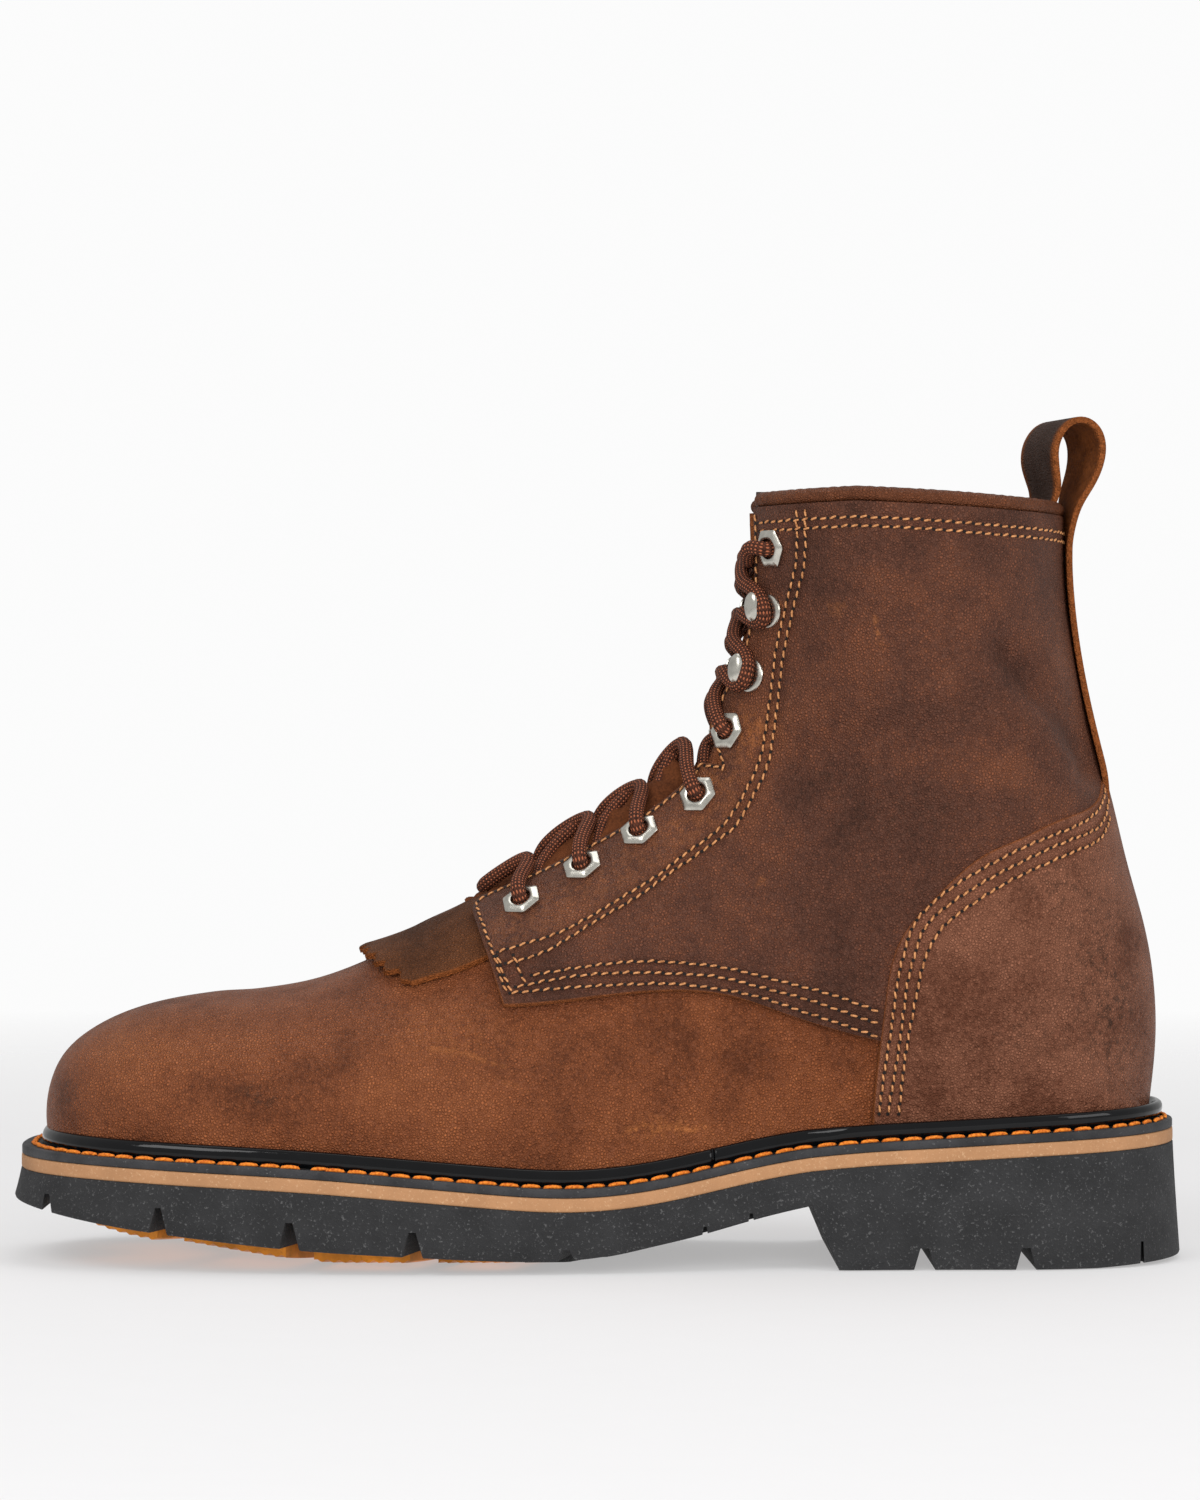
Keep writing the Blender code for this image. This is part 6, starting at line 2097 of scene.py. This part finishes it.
@dataclass
class Lace:
    """The lace: two strands that cross the throat at every row."""

    pattern: Pattern
    radius: float = 1.95
    sides: int = 12
    steps: int = 760
    outside_rows: int = 4
    step_over: float = 1.1

    def strand(self, first_side: int) -> Array:
        """Trace one strand through the eyelets and round the hooks.

        Args:
            first_side: side on which the strand starts: -1 or 1.

        Returns:
            A few points along the strand.
        """
        p, last = self.pattern, self.pattern.last
        points: list[Array] = []

        def mark(t: float, q: float, lift: float) -> None:
            """Add one place of the strand."""
            points.append(last.at(t, q, np.asarray(lift)))

        side = first_side
        rows = len(p.eyelets)
        gap = 1.0
        for number in range(rows):
            t, q = p.hardware(number, side)
            face = p.quarter_top + float(p.corner_lift(t, abs(q) * float(last.half_length(t, side))))
            edge = float(last.share_of(t, side, float(p.plain_half(t))))
            over = self.step_over if (number % 2 == 0) == (first_side < 0) else -self.step_over
            if number in p.hook_rows:
                run = 4.2 / p.rate(t, q)
                mark(t - run, q * 0.92, face + 2.2)
                mark(t, q * 1.05, face + 3.0)
                mark(t + run, q * 0.92, face + 2.2)
            elif number + 1 == rows:
                mark(t - 0.05, (edge + q) * 0.5, face + 3.4)
                mark(t, q * 0.985, face + 2.0)
                mark(t, q, face - 0.6)
                mark(t, q, face - 4.0)
                break
            elif number < self.outside_rows:
                if number == 0:
                    mark(t - gap * 0.42, 0.0, 3.0)
                    mark(t - gap * 0.3, edge * 0.3, 3.8)
                    mark(t + gap * 0.2, edge * 0.6, 4.7)
                else:
                    mark(t - gap * 0.42, -edge * 0.3, 2.8 + over)
                    mark(t + gap * 0.36, edge * 0.15, 4.6)
                mark(t + gap * 0.22, edge * 0.84, 4.4)
                mark(t + gap * 0.05, edge * 0.4 + q * 0.6, face + 2.6)
                mark(t, q * 0.985, face + 1.8)
                mark(t, q, face - 0.6)
                mark(t + 0.02, q, face - 4.2)
            else:
                mark(t - 0.02, q, face - 4.2)
                mark(t, q, face - 0.6)
                mark(t + 0.01, q * 0.985, face + 1.9)
            t2, _ = p.hardware(number + 1, -side)
            gap = t2 - t
            far = float(last.share_of(t2, -side, float(p.plain_half(t2))))
            if number + 1 < self.outside_rows:
                mark(t + gap * 0.22, edge * 1.1, -1.6)
            elif number < self.outside_rows:
                mark(t + gap * 0.5, 0.0, -1.8)
            else:
                mark(t + gap * 0.24, edge * 0.95, face + 1.6)
                mark(t + gap * 0.50, 0.0, -0.4 + over)
                mark(t + gap * 0.72, far * 0.9, face + 1.6)
            side = -side
        return np.array(points)

    def build(self) -> None:
        """Build both strands as braided tubes."""
        part = Part()
        for first_side in (-1, 1):
            path = round_path(self.strand(first_side), self.steps)
            run = unit(np.gradient(path, axis=0))
            first = [unit(np.cross(run[0], np.array([0.3, 1.0, 0.2])))]
            for tangent in run[1:]:
                first.append(unit(first[-1] - tangent * float(first[-1] @ tangent)))
            one = np.array(first)
            two = np.cross(run, one)
            arc = arc_of(path)
            turn = np.linspace(0, 1, self.sides + 1)
            angle = turn * 2 * math.pi
            tube = path[:, None] + self.radius * (one[:, None] * np.cos(angle)[None, :, None]
                                                  + two[:, None] * np.sin(angle)[None, :, None])
            part.add(tube, quads(len(path), self.sides + 1), 0, run=np.repeat(arc, self.sides + 1),
                     turn=np.tile(turn, len(path)))
        piece = part.object("lace_cord", [CORD])
        fit(piece, Slot.LACE, "lace")


# The sole.


class Groove(NamedTuple):
    """A groove across the sole as it opens on the rim; a shallow one is only a nick in the rim."""

    x: float
    base: float
    top: float
    rise: float
    slanted: bool
    shallow: bool = False


def ring_part(rings: Sequence[Array], capped: bool, slots: Optional[Sequence[int]] = None) -> Part:
    """Make a solid from closed rings.

    Args:
        rings: closed rings, the lowest first; the second half of a ring runs back beside the first.
        capped: True to close the first and the last ring; False to close the profile.
        slots: finish of each band between rings.

    Returns:
        The solid's points and faces.
    """
    count = len(rings[0])
    part = Part()
    part.add(np.concatenate(rings), [])
    pairs = [(j, (j + 1) % count) for j in range(count)]
    for i in range(len(rings) - 1 if capped else len(rings)):
        n = (i + 1) % len(rings)
        band = [(i * count + j, i * count + k, n * count + k, n * count + j) for j, k in pairs]
        part.close(band, slots[i] if slots else 0)
    for start in (0, (len(rings) - 1) * count) if capped else ():
        for i in range(count // 2):
            corners = dict.fromkeys((i, i + 1, (count - i - 1) % count, (count - i) % count))
            if len(corners) > 2:
                part.close([tuple(start + c for c in corners)])
    return part


def lifted(ring: Array, height: Array) -> Array:
    """Set a plan ring at a height."""
    return np.concatenate([ring, np.asarray(height)[:, None]], 1)


def cut(target: Piece, other: Piece, operation: str) -> None:
    """Apply one boolean and take the tool away.

    Args:
        target: the piece that changes.
        other: the tool.
        operation: DIFFERENCE or UNION.
    """
    step = target.modifiers.new("cut", "BOOLEAN")
    step.operation = operation
    step.solver = "EXACT"
    step.object = other
    mesh = bpy.data.meshes.new_from_object(target.evaluated_get(bpy.context.evaluated_depsgraph_get()))
    target.modifiers.clear()
    old = target.data
    target.data = mesh
    bpy.data.meshes.remove(old)
    bpy.data.objects.remove(other)


@dataclass
class Sole:
    """Outsole with heel and grooves, tread pads, midsole, welt and insole."""

    plan: SolePlan
    grooves: tuple[Groove, ...] = (
        Groove(-144.6, 3.0, 1.4, 4.7, False), Groove(-117.8, 5.2, 1.6, 6.8, True),
        Groove(-82.6, 5.6, 1.9, 7.0, True), Groove(-50.6, 5.6, 1.9, 6.5, True),
        Groove(-11.6, 4.4, 1.6, 2.8, True), Groove(27.2, 1.3, 0.8, 1.7, False, True),
        Groove(39.2, 1.3, 0.8, 1.7, False, True), Groove(84.3, 5.6, 2.2, 5.6, False),
        Groove(110.7, 5.4, 2.2, 5.7, False), Groove(142.0, 1.1, 0.7, 5.4, False, True))
    pads: Rows = ((-141.0, -119.2), (-112.0, -85.2), (-77.8, -52.8), (-45.4, -26.0))
    ball_lug: tuple[float, float] = (-23.0, -13.0)
    pad_inset: float = 15.0
    butt: float = 29.0
    tool_drop: float = 8.0

    def stack(self, ring: Array, rows: Sequence[tuple[Array, Array]]) -> list[Array]:
        """Set a plan ring at each row's height, grown by its offset."""
        return [lifted(self.plan.grow(ring, offset), height) for offset, height in rows]

    def chevron(self, x: float, y: float) -> float:
        """Slant a tread line toward the heel at the middle of the sole."""
        return x + self.plan.CHEVRON * (1 - min(abs(y) / 52.0, 1.0))

    def groove_tools(self, groove: Groove) -> list[Piece]:
        """Make the tapered bars that open one groove.

        Args:
            groove: the groove.

        Returns:
            The bars.
        """
        plan = self.plan
        if groove.shallow:
            rim = float(plan.half(min(groove.x, 139.0)) + plan.edge(groove.x)) - 2.0
            spans = [(-66.0, -rim), (rim, 66.0)]
        else:
            spans = [(-66.0, -26.0, 0.0, 26.0, 66.0)] if groove.slanted else [(-60.0, 60.0)]
        drop, narrow = self.tool_drop, groove.top / 2
        wide = (groove.base + drop * (groove.base - groove.top) / groove.rise) / 2
        shape = ((-wide, -drop), (wide, -drop), (narrow, groove.rise), (-narrow, groove.rise))
        made = []
        for ys in spans:
            points = []
            for y in ys:
                x = self.chevron(groove.x, y) if groove.slanted else groove.x
                low = float(plan.under(np.asarray(x)))
                points += [(x + offset, y, low + height) for offset, height in shape]
            part = Part()
            part.add(np.array(points), quads(len(ys), len(shape), ring=True))
            part.close_ends(len(ys), len(shape))
            made.append(part.object("groove", [NEEDLE_HOLE_SHADE], outward=True))
        return made

    def pad(self, span: tuple[float, float], top_gap: float, ribs: float, rows: int, cols: int = 41) -> Part:
        """Make one slanted tread pad with fine ribs under it.

        Args:
            span: front and rear of the pad at the rim.
            top_gap: how far its top stays under the rim's underside.
            ribs: depth of the ribs.
            rows: steps from front to rear.
            cols: steps across.

        Returns:
            The pad's points and faces.
        """
        plan = self.plan
        share = np.linspace(-1, 1, cols)
        top, low = [], []
        for edge in np.linspace(*span, rows):
            half = float(plan.half(np.clip(edge, -143.0, 100.0))) + plan.EDGE - self.pad_inset
            x = edge + plan.CHEVRON * (1 - np.abs(share) * 0.8)
            y = float(plan.centre(edge)) + share * half
            rib = ribs * (0.5 + 0.5 * math.sin(edge * math.tau / 3.0))
            top.append(np.stack([x, y, plan.rim_under(x) - top_gap], 1))
            crown = (0.5 if edge < -115 else 1.6) * share ** 2
            low.append(np.stack([x, y * 0.985, np.maximum(plan.tread(x), 0.0) + rib + crown], 1))
        ring = np.concatenate([np.array(top), np.array(low)[:, ::-1]], 1)
        part = Part()
        part.add(ring, quads(rows, 2 * cols, ring=True))
        part.close_sheet(rows, cols)
        return part

    def outsole(self) -> None:
        """Build the outsole, cut its grooves and add the lug under the ball."""
        plan = self.plan
        ring, at = plan.outline()
        edge = plan.grow(ring, plan.edge(at))
        flare = 0.6 + 1.2 * np.clip((at - 40) / 70, 0, 1) + 1.2 * np.clip((-at - 110) / 40, 0, 1)
        foot = plan.grow(edge, flare)
        under = plan.under(np.where(at < 0, foot[:, 0], at))
        top = plan.outsole_top(at)
        rows = [(flare - 1.0, under), (flare - 0.2, under + 0.25), (flare, under + 0.8)]
        for share in (0.3, 0.6, 0.85):
            rows.append((flare * (1 - share) ** 1.2, under + 0.8 + (top - under - 0.8) * share))
        rows += [(0.0, top - 0.3), (-0.25, top)]
        sole = ring_part(self.stack(edge, rows), True).object("outsole_rubber", [OUTSOLE], outward=True)
        lug = self.pad(self.ball_lug, -1.5, 0.0, 5).object("ball_lug", [OUTSOLE], outward=True)
        cut(sole, lug, "UNION")
        for groove in self.grooves:
            for tool in self.groove_tools(groove):
                cut(sole, tool, "DIFFERENCE")
        sole.data.shade_smooth()
        sole.data.set_sharp_from_angle(angle=math.radians(28))
        fit(sole, Slot.RUBBER, "outsole")

    def tread_pads(self) -> None:
        """Build the amber pads."""
        for number, span in enumerate(self.pads, 1):
            rows = int((span[1] - span[0]) / 0.5)
            name = "tread_pad_%d" % number
            pad = self.pad(span, 0.4, 0.7, rows)
            fit(pad.object(name + "_ribbed", [AMBER], outward=True, crisp=40), Slot.AMBER, name)

    def midsole(self) -> None:
        """Build the tan board with eased edges."""
        plan = self.plan
        ring, at = plan.outline()
        low, high = plan.outsole_top(at) + 0.02, plan.midsole_top(at) + 0.1
        edge = plan.edge(at) - 0.05
        rows = ((edge - 0.35, low), (edge - 0.05, low + 0.25), (edge, low + 0.7), (edge, high - 0.7),
                (edge - 0.05, high - 0.25), (edge - 0.35, high))
        piece = ring_part(self.stack(ring, rows), True)
        fit(piece.object("midsole_board", [BOARD], crisp=50, outward=True), Slot.MIDSOLE, "midsole")

    def snug(self, at: Array) -> Array:
        """Give how far the bead stands outside the feather line."""
        wide = 0.55 + 3.1 * self.plan.heel_share(at) + 0.85 * np.clip((-at - 30) / 30, 0, 1)
        return wide - 1.8 * smooth((-at - 122) / 24)

    def welt(self) -> None:
        """Build the flange and the storm bead on its inner side."""
        plan = self.plan
        ring, at = plan.outline(extra=self.butt + np.array([-0.9, -0.4, -0.15, 0.15, 0.4, 0.9]))
        edge = plan.edge(at) - 0.15
        joint = np.exp(-((at - self.butt) / 0.3) ** 2) * (ring[:, 1] < plan.centre(at))
        snug = self.snug(at) - 1.2 * joint
        base = plan.midsole_top(at) + 0.15
        ledge = base + plan.FLANGE + 0.1
        lean = 1.3 * plan.heel_share(at)
        inside = np.full_like(at, -8.0)
        rows = [(edge - 0.3, base), (edge, base + 0.3), (edge, ledge - 0.5), (edge - 0.15, ledge - 0.15),
                (edge - 0.5, ledge), (snug + 2.3, ledge - 0.05), (snug + 1.75, ledge - 0.25),
                (snug + 1.6, ledge + 0.1), (snug + 1.95 + lean * 0.25, ledge + 0.7),
                (snug + 2.2 + lean * 0.45, ledge + 1.6), (snug + 2.15 + lean * 0.65, ledge + 2.6),
                (snug + 1.85 + lean * 0.85, ledge + 3.5), (snug + 1.35 + lean, ledge + 4.2),
                (snug + 0.75 + lean, ledge + 4.6), (snug + 0.1 + lean, ledge + 4.5),
                (snug - 0.2 + lean * 0.8, ledge + 3.6), (snug - 0.1, ledge - 0.9), (inside, ledge - 0.9),
                (inside, base)]
        slots = [0] * 6 + [1] * 10 + [0] * 3
        piece = ring_part(self.stack(ring, rows), False, slots)
        fit(piece.object("welt_and_bead", [FLANGE, BEAD], crisp=48, outward=True), Slot.WELT, "welt")

    def welt_stitching(self) -> None:
        """Sew the orange seam along the flange."""
        plan = self.plan
        ring, at = plan.outline()
        ledge = plan.welt_top(at) + 0.1
        offset = self.snug(at) + 2.2 + 0.4 * (plan.edge(at) - self.snug(at) - 2.6)
        line = lifted(plan.grow(ring, offset), ledge)
        line = np.concatenate([line, line[:1]])
        work = Stitching("welt_stitching", WELT_THREAD, 5.6, 5.3, 0.62, 0.12)
        work.row(line, np.tile([0.0, 0.0, 1.0], (len(line), 1)))
        work.build(Slot.WELT)

    def insole(self) -> None:
        """Build the insole."""
        plan = self.plan
        ring, at = plan.outline(60, 24, 20)
        inset = -(3.8 + 1.2 * plan.heel_share(at))
        low = plan.welt_top(at) - 0.6
        rows = ((inset, low), (inset, low + 3.1), (inset - 0.6, low + 3.5))
        piece = ring_part(self.stack(ring, rows), True)
        fit(piece.object("insole_leather", [SOCK], crisp=50, outward=True), Slot.INSOLE, "insole")

    def build(self) -> None:
        """Build every layer of the sole."""
        self.outsole()
        self.tread_pads()
        self.midsole()
        self.welt()
        self.welt_stitching()
        self.insole()


# Studio.


class Lamp(NamedTuple):
    """A soft square light aimed at a height over the middle; without gleam it stays out of reflections."""

    name: str
    place: tuple[float, float, float]
    aim: float
    size: float
    power: float
    gleam: bool = True


@dataclass
class Studio:
    """Floor, light and camera at the photograph's viewing angle, in metres."""

    distance: float = 1.3
    height: float = 0.135
    frame_height: float = 0.402
    sensor: float = 36.0
    floor_reach: float = 1.6
    floor_height: float = -0.0002
    sky: float = 0.5
    backdrop: float = 0.97
    lamps: tuple[Lamp, ...] = (
        Lamp("key", (-0.9, -1.1, 1.5), 0.08, 0.9, 11.0), Lamp("fill", (1.3, -1.0, 0.9), 0.08, 1.0, 9.0),
        Lamp("front", (0.1, -1.7, 0.3), 0.06, 1.3, 27.0, False), Lamp("top", (0.1, 0.5, 1.7), 0.1, 1.2, 7.0))

    def floor(self) -> None:
        """Lay the pale floor."""
        mesh = bpy.data.meshes.new("floor")
        reach, level = self.floor_reach, self.floor_height
        corners = ((-reach, -reach), (reach, -reach), (reach, reach), (-reach, reach))
        mesh.from_pydata([(x, y, level) for x, y in corners], [], [(0, 1, 2, 3)])
        mesh.materials.append(Paper("floor_paper").material())
        link("floor", mesh)

    def light(self, lamp: Lamp) -> None:
        """Hang one light.

        Args:
            lamp: the light.
        """
        data = bpy.data.lights.new(lamp.name, "AREA")
        data.shape = "SQUARE"
        data.size = lamp.size
        data.energy = lamp.power
        thing = link(lamp.name, data)
        thing.location = lamp.place
        thing.visible_glossy = lamp.gleam
        beam = Vector((0.0, 0.0, lamp.aim)) - Vector(lamp.place)
        thing.rotation_euler = beam.to_track_quat("-Z", "Y").to_euler()

    def world(self) -> None:
        """Light the room with an even white sky that shows as the backdrop."""
        world = bpy.data.worlds.new("studio")
        world.use_nodes = True
        tree = world.node_tree
        sky = tree.nodes["Background"]
        sky.inputs["Color"].default_value = (1.0, 1.0, 1.0, 1.0)
        path = tree.nodes.new("ShaderNodeLightPath")
        level = tree.nodes.new("ShaderNodeMapRange")
        level.inputs["To Min"].default_value = self.sky
        level.inputs["To Max"].default_value = self.backdrop
        tree.links.new(path.outputs["Is Camera Ray"], level.inputs["Value"])
        tree.links.new(level.outputs["Result"], sky.inputs["Strength"])
        bpy.context.scene.world = world

    def camera(self) -> None:
        """Set up the camera."""
        lens = bpy.data.cameras.new("camera")
        lens.sensor_width = self.sensor
        lens.lens = self.sensor * self.distance / self.frame_height
        lens.clip_end = 50.0
        thing = link("camera", lens)
        thing.location = (0.0, -self.distance, self.height)
        thing.rotation_euler = (math.pi / 2, 0.0, 0.0)
        bpy.context.scene.camera = thing

    def build(self) -> None:
        """Set up the whole studio."""
        bpy.context.scene.view_settings.view_transform = "Standard"
        self.floor()
        self.world()
        for lamp in self.lamps:
            self.light(lamp)
        self.camera()


def main() -> None:
    """Load the frame, build the boot piece by piece, and set the studio."""
    logging.basicConfig(level=logging.INFO, format="%(message)s")
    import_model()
    plan = SolePlan()
    pattern = Pattern(Last(plan))
    Sole(plan).build()
    Upper(pattern).build()
    Tongue(pattern).build()
    for side in Side:
        Quarter(pattern, side).build()
    Counter(pattern).build()
    Piping(pattern).build()
    PullStrap(pattern).build()
    Kiltie(pattern).build()
    Seams(pattern).build()
    Hardware(pattern).build()
    Lace(pattern).build()
    Studio().build()


if __name__ == "__main__":
    main()
